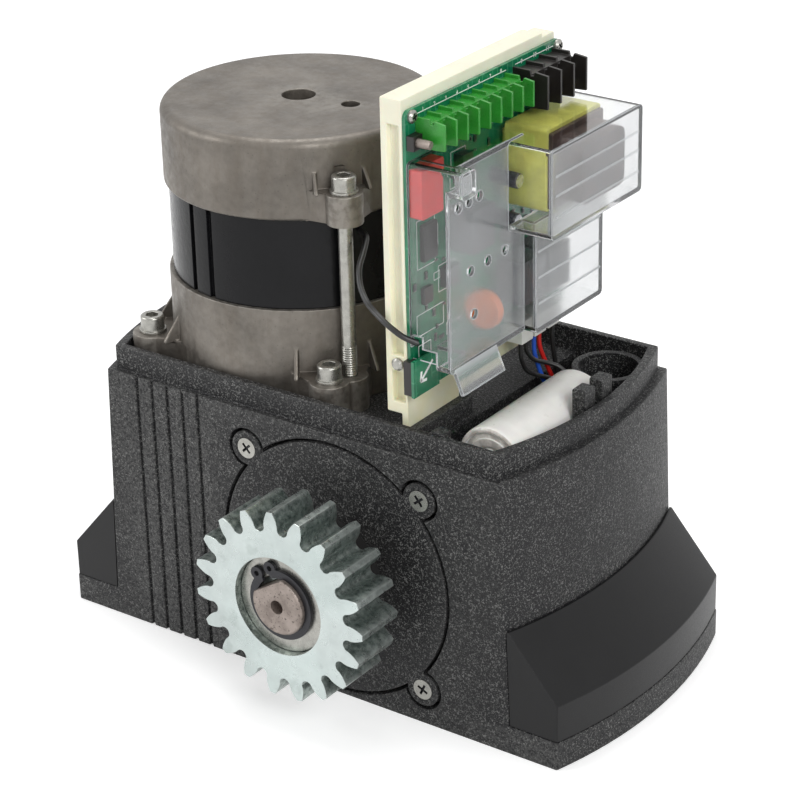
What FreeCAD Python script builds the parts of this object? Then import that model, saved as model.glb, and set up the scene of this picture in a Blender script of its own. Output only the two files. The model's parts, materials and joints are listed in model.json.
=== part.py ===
"""Sliding gate motor: cast housing, worm gearbox, upright motor and control board, in millimetres.

+Z is up, the rack pinion is on the -Y side, and the origin is the middle of the anchor bolt pattern on the
underside of the base. Every driving size is a cell of the sheet "size"; each sub-part is one object whose
Label is its file name.
"""
import FreeCAD, Part
import math
import os
import Sketcher
from FreeCAD import Placement, Rotation, Vector

DOC = FreeCAD.newDocument("SlidingGateMotor")
SIZES = DOC.addObject("Spreadsheet::Sheet", "size")

CELLS = {
    # housing casting
    "half_depth": 64, "end_margin": 12, "end_draft": 4.2, "end_bulge": 11, "ledge_height": 120.2,
    "rim_rise": 10.6, "rim_step": 2.85, "rim_wall": 3.4, "wall": 5, "deck_drop": 0.2, "deck_thickness": 7,
    "flange_reach": 27, "flange_bulge": 10, "flange_height": 12.7,
    "rib_groove_inset": 16, "rib_groove_pitch": 8.2, "rib_groove_count": 5, "rib_groove_width": 1.5,
    "rib_groove_depth": 1.3, "well_gap": 6.5, "well_depth": 22, "case_wall": 5,
    "anchor_inset": 7.5, "anchor_y": 36, "anchor_radius": 6,
    "riser_inset": 14.5, "riser_side": 23.5, "riser_radius": 15.5, "riser_bore": 12.5, "riser_rise": 7,
    "post_inset": 2.5, "post_rise": 7.2, "post_thickness": 8, "post_gap": 5, "post_middle": 3,
    "corner_post_size": 6, "corner_post_rise": 1.7, "holder_reach": 4.5, "saddle_width": 5, "saddle_inset": 8,
    # front plate of the gear case
    "plate_lap": 2.3, "plate_thickness": 7, "plate_gap": 1.3, "ear_reach": 5.4, "ear_radius": 7.6,
    "spigot_length": 3, "spigot_fit": 0.05, "boss_radius": 34, "cavity_back": 16, "cavity_gap": 1.1,
    "plate_screw_head": 4.5, "plate_screw_shank": 2.5, "plate_screw_length": 20, "screw_clearance": 0.2,
    # output drive
    "gear_x": 18, "gear_height": 59, "gear_teeth": 19, "gear_phase": 17.15, "gear_module": 4,
    "gear_width": 24,
    "gear_play": 0.1, "gear_standoff": 13.8, "counterbore_radius": 21.5, "counterbore_depth": 6.6,
    "washer_thickness": 3, "ring_thickness": 1.8, "ring_ear": 3, "ring_ear_offset": 3.9, "ring_eye": 1.1,
    "ring_opening": 2.2, "shaft_nose": 12.5, "shaft_flat": 9.4, "flat_angle": 122, "ring_groove": 11.7,
    "ring_outer": 15.4, "shaft_seat": 15, "shaft_shoulder": 17.5, "wheel_seat": 16, "shaft_end_y": 40,
    "nose_proud": 0.6, "centre_radius": 3, "centre_depth": 5,
    "bearing_radius": 27.5, "bearing_width": 13, "bearing_race": 4.2, "race_gap": 0.08,
    "seal_radius": 23.5, "seal_width": 7, "seal_gap": 0.03, "key_width": 8, "key_height": 7,
    # worm drive
    "wheel_teeth": 40, "wheel_module": 2.5, "wheel_width": 14, "wheel_hub": 25, "hub_half_length": 13,
    "worm_pitch_radius": 8.7, "worm_root": 5.7, "worm_turns": 6, "mesh_play": 0.35, "worm_bearing_radius": 16,
    "worm_bearing_width": 10, "worm_drop": 42, "worm_reach": 27,
    # motor
    "bell_radius": 57.25, "bell_height": 41.8, "sleeve_inset": 1.65, "stator_height": 38.7,
    "cap_overhang": 0.25,
    "cap_height": 33.9, "cap_roof": 6, "bell_wall": 4.5, "register_wall": 4.75, "register_depth": 5,
    "stator_bore": 32, "spigot_radius": 31, "spigot_depth": 6, "lug_offset": 46.8, "lug_radius": 8.6,
    "lug_height": 14.5, "tie_offset": 5.55, "tie_angle": -36.75, "tie_lug_radius": 7.6, "cap_lug_lift": 0.2,
    "cap_lug_height": 13, "rib_thickness": 1.6, "bell_rib_reach": 7, "bell_rib_rise": 14, "cap_rib_reach": 6,
    "cap_rib_rise": 10, "groove_depth": 1.5, "groove_spread": 1.4, "cap_edge": 4, "bolt_radius": 3,
    "bolt_head_radius": 5, "bolt_head_height": 6, "hex_socket": 5, "bolt_washer": 1.3,
    "bolt_washer_radius": 5.8,
    "air_gap": 0.4, "rotor_shaft": 7.5, "rotor_bearing_radius": 17.5, "rotor_bearing_width": 11,
    "shaft_top_cover": 12.4, "winding_gap": 2.5, "winding_height": 14, "bell_bore": 12.5, "cap_hole": 7,
    "cap_tap_hole": 3.8, "cap_tap_x": 25.4, "cap_tap_y": 1.6, "bearing_rise": 2,
    # controller
    "tray_back": 41.5, "tray_depth": 10, "tray_side_gap": 8, "tray_width": 107, "tray_rise": 3.2,
    "tray_height": 130.5, "tray_skin": 3, "tray_channel_depth": 3, "tongue_drop": 8, "tray_tongue_length": 36,
    "tray_step": 1.6, "tray_step_length": 9, "fin_rise": 1.5,
    "tray_fit": 0.1, "board_thickness": 1.6, "board_inset": 0.5, "board_width": 108.5, "board_rise": 8,
    "board_height": 118, "board_corner": 3, "screw_head": 2.6, "screw_head_height": 1.8,
    "pole_pitch": 7.62, "pole_count": 8, "pole_inset": 6.9, "pole_height": 13.5, "pole_drop": 15.6,
    "pole_depth": 12, "mains_pitch": 9.5, "mains_count": 3, "mains_gap": 5.84, "mains_height": 16.5,
    "mains_drop": 18.2, "mains_depth": 15.5, "fin": 1.3, "screw_hollow": 2.6, "hollow_depth": 1.5,
    "cover_depth": 18.9, "cover_width": 52.5, "cover_rise": 14, "cover_height": 84, "cover_wall": 1.7,
    "cover_round": 2, "hood_depth": 38.9, "hood_lap": 11.5, "hood_width": 67.5, "hood_height": 37,
    "hood_drop": 1, "hood_line": 0.6, "shelf_depth": 24.4, "shelf_inset": 6, "vent_radius": 2.1,
    "bump_depth": 25.4, "bump_width": 9.5, "bump_height": 11, "side_gap_step": 6.8, "side_gap_height": 8,
    "lip_width": 29, "button_case": 5.9, "button_case_height": 3.5, "button_stem": 1.75,
    "button_stem_length": 8,
    "button_travel": 0.3, "coil_offset": 21.5, "coil_width": 40, "coil_inset": 2, "coil_cap": 16,
    "coil_winding": 11, "bobbin_flange": 2, "can_radius": 3.2, "can_height": 15, "film_depth": 6,
    "varistor_radius": 8, "varistor_thickness": 4, "header_overhang": 2.8,
    # run capacitor
    "capacitor_inset": 17, "capacitor_rise": 18.7, "capacitor_radius": 15.2, "capacitor_front_gap": 19.4,
    "capacitor_length": 66, "capacitor_ring_depth": 0.8,
    # manual release
    "release_radius": 8, "release_gap": 0.05, "release_head": 12, "release_head_depth": 4,
    "release_key": 8, "release_key_depth": 10, "lead_radius": 1.2, "wire_radius": 0.95,
    # foot covers
    "foot_outer_rise": 16.5, "foot_inner_rise": 42.9, "foot_wall": 2.5, "foot_ridge": 1.2, "foot_gap": 0.3,
}

PLACES = {
    # the motor stands over the worm, and the casting reaches past the motor's flange bolts
    "motor_x": "gear_x - wheel_module * wheel_teeth / 2 - worm_pitch_radius",
    "half_length": "lug_offset - motor_x + end_margin",
    "flange_half_length": "half_length + flange_reach",
    "anchor_x": "flange_half_length - anchor_inset",
    "rib_groove_x": "rib_groove_inset - half_length",
    "riser_x": "half_length - riser_inset",
    "riser_y": "half_depth - riser_side",
    "post_x": "half_length - post_inset",
    "capacitor_x": "half_length - capacitor_inset",
    "capacitor_front": "capacitor_front_gap - half_depth",
    "well_left": "tray_back + tray_depth + well_gap",
    # heights of the casting
    "rim_height": "ledge_height + rim_rise",
    "deck_top": "ledge_height - deck_drop",
    "well_floor": "deck_top - well_depth",
    "riser_top": "deck_top + riser_rise",
    "post_top": "rim_height + post_rise",
    "capacitor_height": "well_floor + capacitor_rise",
    "foot_outer_top": "flange_height + foot_outer_rise",
    "foot_inner_top": "flange_height + foot_inner_rise",
    # gear case
    "cavity_radius": "wheel_module * (wheel_teeth / 2 + 1) + cavity_gap",
    "plate_radius": "cavity_radius + plate_lap",
    "ear_offset": "(plate_radius + ear_reach) / sqrt(2)",
    "worm_foot": "gear_height - worm_drop",
    "worm_top": "gear_height + worm_reach",
    # motor, from the deck up
    "bell_top": "deck_top + bell_height",
    "cap_bottom": "bell_top + stator_height",
    "motor_top": "cap_bottom + cap_height",
    "rotor_shaft_top": "motor_top - shaft_top_cover",
    "cap_lug_bottom": "cap_bottom + cap_lug_lift",
    "cap_lug_top": "cap_lug_bottom + cap_lug_height",
    "stator_radius": "bell_radius - sleeve_inset",
    "cap_radius": "bell_radius + cap_overhang",
    "stator_register": "bell_radius - register_wall",
    "rotor_radius": "stator_bore - air_gap",
    "winding_radius": "stator_register - winding_gap",
    "tie_radius": "bell_radius + tie_offset",
    # controller, from the rim up and from its front edge back
    "board_back": "tray_back + tray_depth",
    "board_face": "board_back + board_thickness",
    "tray_front_y": "tray_side_gap - half_depth",
    "tray_back_y": "tray_front_y + tray_width",
    "tray_bottom": "rim_height + tray_rise",
    "tray_top": "tray_bottom + tray_height",
    "tray_tongue_bottom": "tray_bottom - tongue_drop",
    "board_front_y": "tray_front_y + board_inset",
    "board_back_y": "board_front_y + board_width",
    "board_bottom": "tray_bottom + board_rise",
    "board_top": "board_bottom + board_height",
    "pole_start": "board_front_y + pole_inset",
    "pole_bottom": "board_top - pole_drop",
    "pole_top": "pole_bottom + pole_depth",
    "mains_start": "pole_start + pole_pitch * pole_count + mains_gap",
    "mains_bottom": "board_top - mains_drop",
    "mains_top": "mains_bottom + mains_depth",
    "cover_face": "board_face + cover_depth",
    "cover_back_y": "board_front_y + cover_width",
    "cover_bottom": "board_bottom + cover_rise",
    "cover_top": "cover_bottom + cover_height",
    "hood_face": "board_face + hood_depth",
    "hood_front_y": "cover_back_y - hood_lap",
    "hood_back_y": "hood_front_y + hood_width",
    "hood_top": "cover_top - hood_drop",
    "hood_bottom": "hood_top - hood_height",
    "shelf_face": "board_face + shelf_depth",
    "shelf_back_y": "hood_back_y - shelf_inset",
    "bump_face": "board_face + bump_depth",
    "bump_back_y": "board_front_y + bump_width",
    "bump_bottom": "cover_top - bump_height",
    "coil_front_y": "hood_front_y + coil_offset",
    "coil_back_y": "coil_front_y + coil_width",
    "coil_bottom": "hood_bottom + coil_inset",
    "coil_top": "hood_top - coil_inset",
    "coil_face": "hood_face - coil_cap",
    # along the drive's axis
    "gear_back": "0 - half_depth - gear_standoff",
    "bearing_front_y": "plate_thickness - half_depth",
    "bearing_rear_y": "shaft_end_y - bearing_width",
    "ring_y": "gear_back - gear_width + counterbore_depth - washer_thickness",
}


def write_sheet():
    for row, (alias, number) in enumerate(CELLS.items(), start=1):
        SIZES.set(f"A{row}", alias)
        SIZES.set(f"B{row}", str(number))
        SIZES.setAlias(f"B{row}", alias)
    DOC.recompute()


def named(text):
    """An expression on the sheet: an alias in the text becomes size.alias, and a place its own expression."""
    out = ""
    word = ""
    for letter in text + " ":
        if letter.isalnum() or letter in "_.":
            word += letter
            continue
        if word in PLACES:
            out += f"({named(PLACES[word])})"
        elif word in CELLS:
            out += "size." + word
        else:
            out += word
        out += letter
        word = ""
    return out.strip()


def val(text):
    return float(SIZES.evalExpression(named(str(text))))


def bind(item, path, text):
    item.setExpression(path, named(str(text)))


def place(item, x="0", y="0", z="0", turn=None):
    """Put an object at a bound position, turned by a fixed rotation."""
    if turn is not None:
        item.Placement = Placement(Vector(0, 0, 0), turn)
    for path, text in (("x", x), ("y", y), ("z", z)):
        bind(item, "Placement.Base." + path, text)
    return item


ALONG_X = Rotation(Vector(0, 1, 0), 90)
ALONG_Y = Rotation(Vector(1, 0, 0), -90)
AGAINST_Y = Rotation(Vector(1, 0, 0), 90)
HALF_TURN = Rotation(Vector(0, 0, 1), 180)


# ---------------------------------------------------------------- sketch helpers
def plane_of(body, role):
    return next(item for item in body.Origin.OriginFeatures if item.Role == role)


def sketch(body, name, role, offset="0"):
    item = body.newObject("Sketcher::SketchObject", name)
    item.AttachmentSupport = [(plane_of(body, role), "")]
    item.MapMode = "FlatFace"
    bind(item, "AttachmentOffset.Base.z", offset)
    return item


def fix(item, kind, geometry, point, text):
    if kind == "Radius":
        index = item.addConstraint(Sketcher.Constraint(kind, geometry, val(text)))
    else:
        index = item.addConstraint(Sketcher.Constraint(kind, -1, 1, geometry, point, val(text)))
    bind(item, f"Constraints[{index}]", text)


def outline(item, corners, rounds=None):
    """A closed outline through bound corners, anticlockwise; rounds gives outward arcs by edge."""
    rounds = rounds or {}
    first = item.GeometryCount
    spots = [Vector(val(x), val(y), 0) for x, y in corners]
    count = len(corners)
    for index, start in enumerate(spots):
        end = spots[(index + 1) % count]
        if index in rounds:
            radius = val(rounds[index])
            chord = end - start
            middle = (start + end) * 0.5
            out = Vector(chord.y, -chord.x, 0).normalize()
            sagitta = radius - math.sqrt(max(radius ** 2 - chord.Length ** 2 / 4, 0))
            item.addGeometry(Part.Arc(start, middle + out * sagitta, end), False)
        else:
            item.addGeometry(Part.LineSegment(start, end), False)
    for index in range(count):
        item.addConstraint(Sketcher.Constraint("Coincident", first + index, 2, first + (index + 1) % count,
                                               1))
    for index, (x, y) in enumerate(corners):
        point = 1
        fix(item, "DistanceX", first + index, point, x)
        fix(item, "DistanceY", first + index, point, y)
    for index, radius in rounds.items():
        fix(item, "Radius", first + index, 0, radius)
    return item


def rectangle(item, x0, y0, x1, y1):
    return outline(item, [(x0, y0), (x1, y0), (x1, y1), (x0, y1)])


def circle(item, x, y, radius):
    index = item.GeometryCount
    item.addGeometry(Part.Circle(Vector(val(x), val(y), 0), Vector(0, 0, 1), val(radius)), False)
    fix(item, "DistanceX", index, 3, x)
    fix(item, "DistanceY", index, 3, y)
    fix(item, "Radius", index, 0, radius)
    return item


def feature(body, kind, name, profile, length=None, back=False):
    item = body.newObject("PartDesign::" + kind, name)
    item.Profile = profile
    if length is None:
        item.Type = 1
    else:
        bind(item, "Length", length)
    item.Reversed = back
    profile.Visibility = False
    return item


def new_body(label):
    item = DOC.addObject("PartDesign::Body", label)
    item.Label = label
    return item


def turned(label, stations, bore="0"):
    """A turned piece about Z: stations are (radius, height) pairs from the bottom up."""
    body = new_body(label)
    profile = sketch(body, label + "_profile", "XZ_Plane")
    corners = [(bore, stations[0][1])]
    corners += stations
    corners += [(bore, stations[-1][1])]
    outline(profile, corners)
    spin = body.newObject("PartDesign::Revolution", label + "_turn")
    spin.Profile = profile
    spin.ReferenceAxis = (profile, ["V_Axis"])
    spin.Angle = 360
    return body


# ---------------------------------------------------------------- Part helpers
def box(label, x0, y0, z0, x1, y1, z1):
    item = DOC.addObject("Part::Box", label)
    for path, low, high in (("Length", x0, x1), ("Width", y0, y1), ("Height", z0, z1)):
        bind(item, path, f"({high}) - ({low})")
    return place(item, x0, y0, z0)


def rod(label, radius, length, x, y, z, turn=None):
    item = DOC.addObject("Part::Cylinder", label)
    bind(item, "Radius", radius)
    bind(item, "Height", length)
    return place(item, x, y, z, turn)


def cut(label, base, tool):
    item = DOC.addObject("Part::Cut", label)
    item.Base = base
    item.Tool = tool
    item.Label = label
    return item


def fuse(label, *pieces):
    item = DOC.addObject("Part::MultiFuse", label)
    item.Shapes = list(pieces)
    item.Label = label
    return item


def group(label, pieces):
    item = DOC.addObject("Part::Compound", label)
    item.Links = list(pieces)
    item.Label = label
    return item


def shaped(label, shape):
    item = DOC.addObject("Part::Feature", label)
    item.Shape = shape
    item.Label = label
    return item


# ---------------------------------------------------------------- shared places
FRONT = "(-half_depth)"
CORNERS = [(1, 1), (1, -1), (-1, 1), (-1, -1)]


def bulged(item, half_length, half_depth, bulge):
    """The plan of the casting: straight front and back, ends bulged as arcs."""
    radius = f"(({bulge})^2 + ({half_depth})^2) / (2 * ({bulge}))"
    corners = [
        (f"-({half_length})", f"-({half_depth})"),
        (f"{half_length}", f"-({half_depth})"),
        (f"{half_length}", f"{half_depth}"),
        (f"-({half_length})", f"{half_depth}"),
    ]
    return outline(item, corners, {1: radius, 3: radius})


# ---------------------------------------------------------------- housing
def housing():
    body = new_body("housing")
    flange = bulged(sketch(body, "flange_plan", "XY_Plane"), "flange_half_length", "half_depth",
                    "flange_bulge")
    feature(body, "Pad", "flange", flange, "flange_height")
    low = bulged(sketch(body, "body_low", "XY_Plane"), "half_length + end_draft", "half_depth", "end_bulge")
    high = bulged(sketch(body, "body_high", "XY_Plane", "ledge_height"), "half_length", "half_depth",
                  "end_bulge")
    loft = body.newObject("PartDesign::AdditiveLoft", "body_wall")
    loft.Profile = low
    loft.Sections = [high]
    loft.Ruled = True
    rim = sketch(body, "rim_plan", "XY_Plane", "ledge_height - 1")
    bulged(rim, "half_length - rim_step", "half_depth - rim_step", "end_bulge")
    feature(body, "Pad", "rim", rim, "rim_height - ledge_height + 1")

    inset = "(rim_step + rim_wall)"
    room = sketch(body, "room_plan", "XY_Plane", "rim_height")
    bulged(room, f"half_length - {inset}", f"half_depth - {inset}", "end_bulge")
    feature(body, "Pocket", "room", room, "rim_height - deck_top")

    under = sketch(body, "underside_plan", "XY_Plane")
    bulged(under, "half_length - wall", "half_depth - wall", "end_bulge")
    feature(body, "Pocket", "underside", under, "deck_top - deck_thickness", back=True)

    well = sketch(body, "well_plan", "XY_Plane", "deck_top")
    side = f"(half_depth - {inset})"
    end = f"(half_length - {inset})"
    radius = f"((end_bulge)^2 + {side}^2) / (2 * end_bulge)"
    outline(well, [("well_left", f"-{side}"), (end, f"-{side}"), (end, side), ("well_left", side)],
            {1: radius})
    feature(body, "Pocket", "well", well, "deck_top - well_floor")
    floor = sketch(body, "well_floor_plan", "XY_Plane", "well_floor - wall")
    outline(floor,
            [("well_left - wall", f"-{side} - 1"), (f"{end} + 1", f"-{side} - 1"),
             (f"{end} + 1", f"{side} + 1"),
                    ("well_left - wall", f"{side} + 1")], {1: radius})
    feature(body, "Pad", "well_bottom", floor, "wall")
    curb = sketch(body, "well_curb_plan", "XY_Plane", "well_floor - wall")
    rectangle(curb, "well_left - wall", f"-{side} - 1", "well_left", f"{side} + 1")
    feature(body, "Pad", "well_curb", curb, "deck_top - well_floor + wall")

    case = sketch(body, "case_profile", "XZ_Plane", "half_depth")
    reach = "(cavity_radius + case_wall)"
    left = f"(gear_x - {reach})"
    right = f"(gear_x + {reach} - 2)"
    outline(case, [(left, "0"), (right, "0"), (right, "gear_height"),
                   ("gear_x", "deck_top - deck_thickness + 1"), (left, "deck_top - deck_thickness + 1")],
            {2: "cavity_radius + case_wall"})
    feature(body, "Pad", "gear_case", case, "half_depth + cavity_back + case_wall", back=True)

    column = sketch(body, "worm_column_plan", "XY_Plane")
    rectangle(column, "motor_x - worm_bearing_radius - case_wall", "-worm_bearing_radius - case_wall",
              "gear_x",
              "worm_bearing_radius + case_wall")
    feature(body, "Pad", "worm_column", column, "deck_top - 1")

    boss = sketch(body, "rear_boss_profile", "XZ_Plane", "-half_depth")
    circle(boss, "gear_x", "gear_height", "bearing_radius + case_wall")
    feature(body, "Pad", "rear_boss", boss, "half_depth - cavity_back")

    riser = sketch(body, "riser_plan", "XY_Plane")
    circle(riser, "riser_x", "riser_y", "riser_radius")
    feature(body, "Pad", "riser", riser, "riser_top")

    posts = sketch(body, "post_plan", "XY_Plane", "well_floor - 1")
    half = "post_gap / 2"
    wall_x = f"half_length - {inset} + end_bulge - 1"
    rectangle(posts, "post_x", f"post_middle - {half} - post_thickness", wall_x, f"post_middle - {half}")
    rectangle(posts, "post_x", f"post_middle + {half}", wall_x, f"post_middle + {half} + post_thickness")
    feature(body, "Pad", "cover_posts", posts, "post_top - well_floor + 1")
    corner = sketch(body, "corner_post_plan", "XY_Plane", "well_floor - 1")
    rectangle(corner, "well_left + corner_post_size", f"-{side} - 0.5", "well_left + 2 * corner_post_size",
              f"-{side} + corner_post_size - 1")
    feature(body, "Pad", "corner_post", corner, "rim_height + corner_post_rise - well_floor")
    holder = sketch(body, "tray_holder_plan", "XY_Plane", "deck_top - 1")
    rectangle(holder, "board_back - tray_skin - 3", "tray_front_y + 0.5", "board_back + holder_reach",
              "tray_front_y + tray_tongue_length + 3")
    feature(body, "Pad", "tray_holder", holder, "tray_tongue_bottom + 3 - deck_top + 1")

    slot = sketch(body, "tray_slot_plan", "XY_Plane", "rim_height")
    rectangle(slot, "board_back - tray_skin - tray_fit", "tray_front_y - tray_fit", "board_back + tray_fit",
              "tray_front_y + tray_tongue_length + tray_fit")
    feature(body, "Pocket", "tray_slot", slot, "rim_height - tray_tongue_bottom + 2 * tray_fit")

    recess = sketch(body, "plate_recess", "XZ_Plane", "half_depth")
    circle(recess, "gear_x", "gear_height", "plate_radius + plate_gap")
    feature(body, "Pocket", "plate_seat", recess, "plate_thickness")
    ears = sketch(body, "ear_recess", "XZ_Plane", "half_depth")
    for sx, sz in CORNERS:
        circle(ears, f"gear_x + {sx} * ear_offset", f"gear_height + {sz} * ear_offset",
               "ear_radius + plate_gap")
    feature(body, "Pocket", "ear_seats", ears, "plate_thickness")
    taps = sketch(body, "plate_taps", "XZ_Plane", "half_depth")
    for sx, sz in CORNERS:
        circle(taps, f"gear_x + {sx} * ear_offset", f"gear_height + {sz} * ear_offset", "plate_screw_shank")
    feature(body, "Pocket", "plate_screw_holes", taps, "plate_screw_length + 1")
    cavity = sketch(body, "wheel_cavity_profile", "XZ_Plane", "half_depth")
    circle(cavity, "gear_x", "gear_height", "cavity_radius")
    feature(body, "Pocket", "wheel_cavity", cavity, "half_depth + cavity_back")
    seat = sketch(body, "rear_bearing_profile", "XZ_Plane", "half_depth")
    circle(seat, "gear_x", "gear_height", "bearing_radius")
    feature(body, "Pocket", "rear_bearing_seat", seat, "half_depth + shaft_end_y")
    clear = sketch(body, "shaft_relief_profile", "XZ_Plane", "half_depth")
    circle(clear, "gear_x", "gear_height", "shaft_seat + bearing_race + 2")
    feature(body, "Pocket", "shaft_relief", clear, "half_depth + shaft_end_y + 1")
    worm = sketch(body, "worm_bore_plan", "XY_Plane", "deck_top")
    circle(worm, "motor_x", "0", "worm_bearing_radius")
    feature(body, "Pocket", "worm_bore", worm, "deck_top - worm_foot")
    relief = sketch(body, "worm_relief_plan", "XY_Plane", "deck_top")
    circle(relief, "motor_x", "0", "worm_bearing_radius - 4")
    feature(body, "Pocket", "worm_relief", relief, "deck_top - worm_foot + 1")
    spigot = sketch(body, "motor_seat_plan", "XY_Plane", "deck_top")
    circle(spigot, "motor_x", "0", "spigot_radius + spigot_fit")
    feature(body, "Pocket", "motor_seat", spigot, "spigot_depth + 0.5")

    release = sketch(body, "release_bore_profile", "XZ_Plane", "-half_depth")
    circle(release, "gear_x", "gear_height", "release_radius + release_gap")
    feature(body, "Pocket", "release_bore", release, "half_depth - shaft_end_y + 1", back=True)
    rest = sketch(body, "release_recess_profile", "XZ_Plane", "-half_depth")
    circle(rest, "gear_x", "gear_height", "release_head + 1")
    feature(body, "Pocket", "release_recess", rest, "release_head_depth", back=True)
    duct = sketch(body, "riser_bore_plan", "XY_Plane", "riser_top")
    circle(duct, "riser_x", "riser_y", "riser_bore")
    feature(body, "Pocket", "riser_bore", duct, "riser_top + 1")

    bolts = sketch(body, "motor_taps", "XY_Plane", "deck_top")
    for sx, sy in CORNERS:
        circle(bolts, f"motor_x + {sx} * lug_offset", f"{sy} * lug_offset", "bolt_radius")
    feature(body, "Pocket", "motor_screw_holes", bolts, "deck_thickness + 1")
    anchors = sketch(body, "anchor_holes", "XY_Plane", "flange_height")
    for sx, sy in CORNERS:
        circle(anchors, f"{sx} * anchor_x", f"{sy} * anchor_y", "anchor_radius")
    feature(body, "Pocket", "anchor_bores", anchors, "flange_height + 1")

    half_saddle = "(capacitor_radius * 0.72)"
    saddle_top = "capacitor_height - capacitor_radius * 0.6"
    bed = sketch(body, "capacitor_bed_profile", "YZ_Plane", f"capacitor_x - {half_saddle}")
    for start in ("capacitor_front + saddle_inset",
                  "capacitor_front + capacitor_length - saddle_inset - saddle_width"):
        rectangle(bed, start, "well_floor - 1", f"{start} + saddle_width", saddle_top)
    feature(body, "Pad", "capacitor_saddles", bed, f"2 * {half_saddle}")
    lie = sketch(body, "capacitor_round", "XZ_Plane", "-capacitor_front")
    circle(lie, "capacitor_x", "capacitor_height", "capacitor_radius")
    feature(body, "Pocket", "capacitor_seat", lie, "capacitor_length")

    groove = sketch(body, "rib_groove_profile", "XZ_Plane", "half_depth")
    for step in range(int(val("rib_groove_count"))):
        x = f"rib_groove_x + {step} * rib_groove_pitch"
        rectangle(groove, f"{x} - rib_groove_width / 2", "-1", f"{x} + rib_groove_width / 2",
                  "ledge_height + 1")
    feature(body, "Pocket", "rib_grooves", groove, "rib_groove_depth")
    return body


# ---------------------------------------------------------------- gear case front
def gearbox_cover():
    body = new_body("gearbox_cover")
    disc = sketch(body, "cover_disc", "XZ_Plane", "half_depth")
    circle(disc, "gear_x", "gear_height", "plate_radius")
    feature(body, "Pad", "cover_plate", disc, "plate_thickness", back=True)
    ears = sketch(body, "cover_ears", "XZ_Plane", "half_depth")
    for sx, sz in CORNERS:
        circle(ears, f"gear_x + {sx} * ear_offset", f"gear_height + {sz} * ear_offset", "ear_radius")
    feature(body, "Pad", "cover_lugs", ears, "plate_thickness", back=True)
    spigot = sketch(body, "cover_spigot_profile", "XZ_Plane", "half_depth - plate_thickness")
    circle(spigot, "gear_x", "gear_height", "cavity_radius - spigot_fit")
    feature(body, "Pad", "cover_spigot", spigot, "spigot_length", back=True)
    boss = sketch(body, "cover_boss_profile", "XZ_Plane", "half_depth - plate_thickness")
    circle(boss, "gear_x", "gear_height", "boss_radius")
    feature(body, "Pad", "cover_boss", boss, "bearing_width + 1", back=True)
    seat = sketch(body, "cover_bearing_profile", "XZ_Plane",
                  "half_depth - plate_thickness - bearing_width - 1")
    circle(seat, "gear_x", "gear_height", "bearing_radius")
    feature(body, "Pocket", "cover_bearing_seat", seat, "bearing_width + 1", back=True)
    seal = sketch(body, "cover_seal_profile", "XZ_Plane", "half_depth")
    circle(seal, "gear_x", "gear_height", "seal_radius")
    feature(body, "Pocket", "cover_seal_seat", seal, "seal_width")
    holes = sketch(body, "cover_screw_holes", "XZ_Plane", "half_depth")
    for sx, sz in CORNERS:
        circle(holes, f"gear_x + {sx} * ear_offset", f"gear_height + {sz} * ear_offset",
               "plate_screw_shank + screw_clearance")
    feature(body, "Pocket", "cover_screw_bores", holes, "plate_thickness + 1")
    sinks = []
    for index, (sx, sz) in enumerate(CORNERS):
        cone = DOC.addObject("Part::Cone", f"cover_sink_{index}")
        bind(cone, "Radius1", "plate_screw_head + screw_clearance")
        bind(cone, "Radius2", "plate_screw_shank")
        bind(cone, "Height", "plate_screw_head - plate_screw_shank + screw_clearance")
        place(cone, f"gear_x + {sx} * ear_offset", FRONT, f"gear_height + {sz} * ear_offset", ALONG_Y)
        sinks.append(cone)
    body.Label = "gearbox_cover_blank"
    return cut("gearbox_cover", body, group("cover_sinks", sinks))


def cover_screws():
    screws = []
    for index, (sx, sz) in enumerate(CORNERS):
        body = turned(f"cover_screw_{index}", [
            ("plate_screw_shank - 0.05", "0"),
            ("plate_screw_shank - 0.05", "plate_screw_length - plate_screw_head + plate_screw_shank"),
            ("plate_screw_head", "plate_screw_length"),
        ])
        place(body, f"gear_x + {sx} * ear_offset", f"{FRONT} + plate_screw_length",
              f"gear_height + {sz} * ear_offset", AGAINST_Y)
        screws.append(body)
    return group("cover_screws", screws)


def shaft_seal():
    body = turned("shaft_seal", [("seal_radius", "0"), ("seal_radius", "seal_width - 0.5")],
                  "shaft_seat + seal_gap")
    return place(body, "gear_x", FRONT, "gear_height", ALONG_Y)


# ---------------------------------------------------------------- output drive
def involute(base, angle_start, radius, sign):
    """A point of the involute of the base circle at the given radius, turned by angle_start."""
    roll = math.sqrt(max((radius / base) ** 2 - 1, 0))
    angle = angle_start + sign * (roll - math.atan(roll))
    return Vector(radius * math.cos(angle), radius * math.sin(angle), 0)


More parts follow.
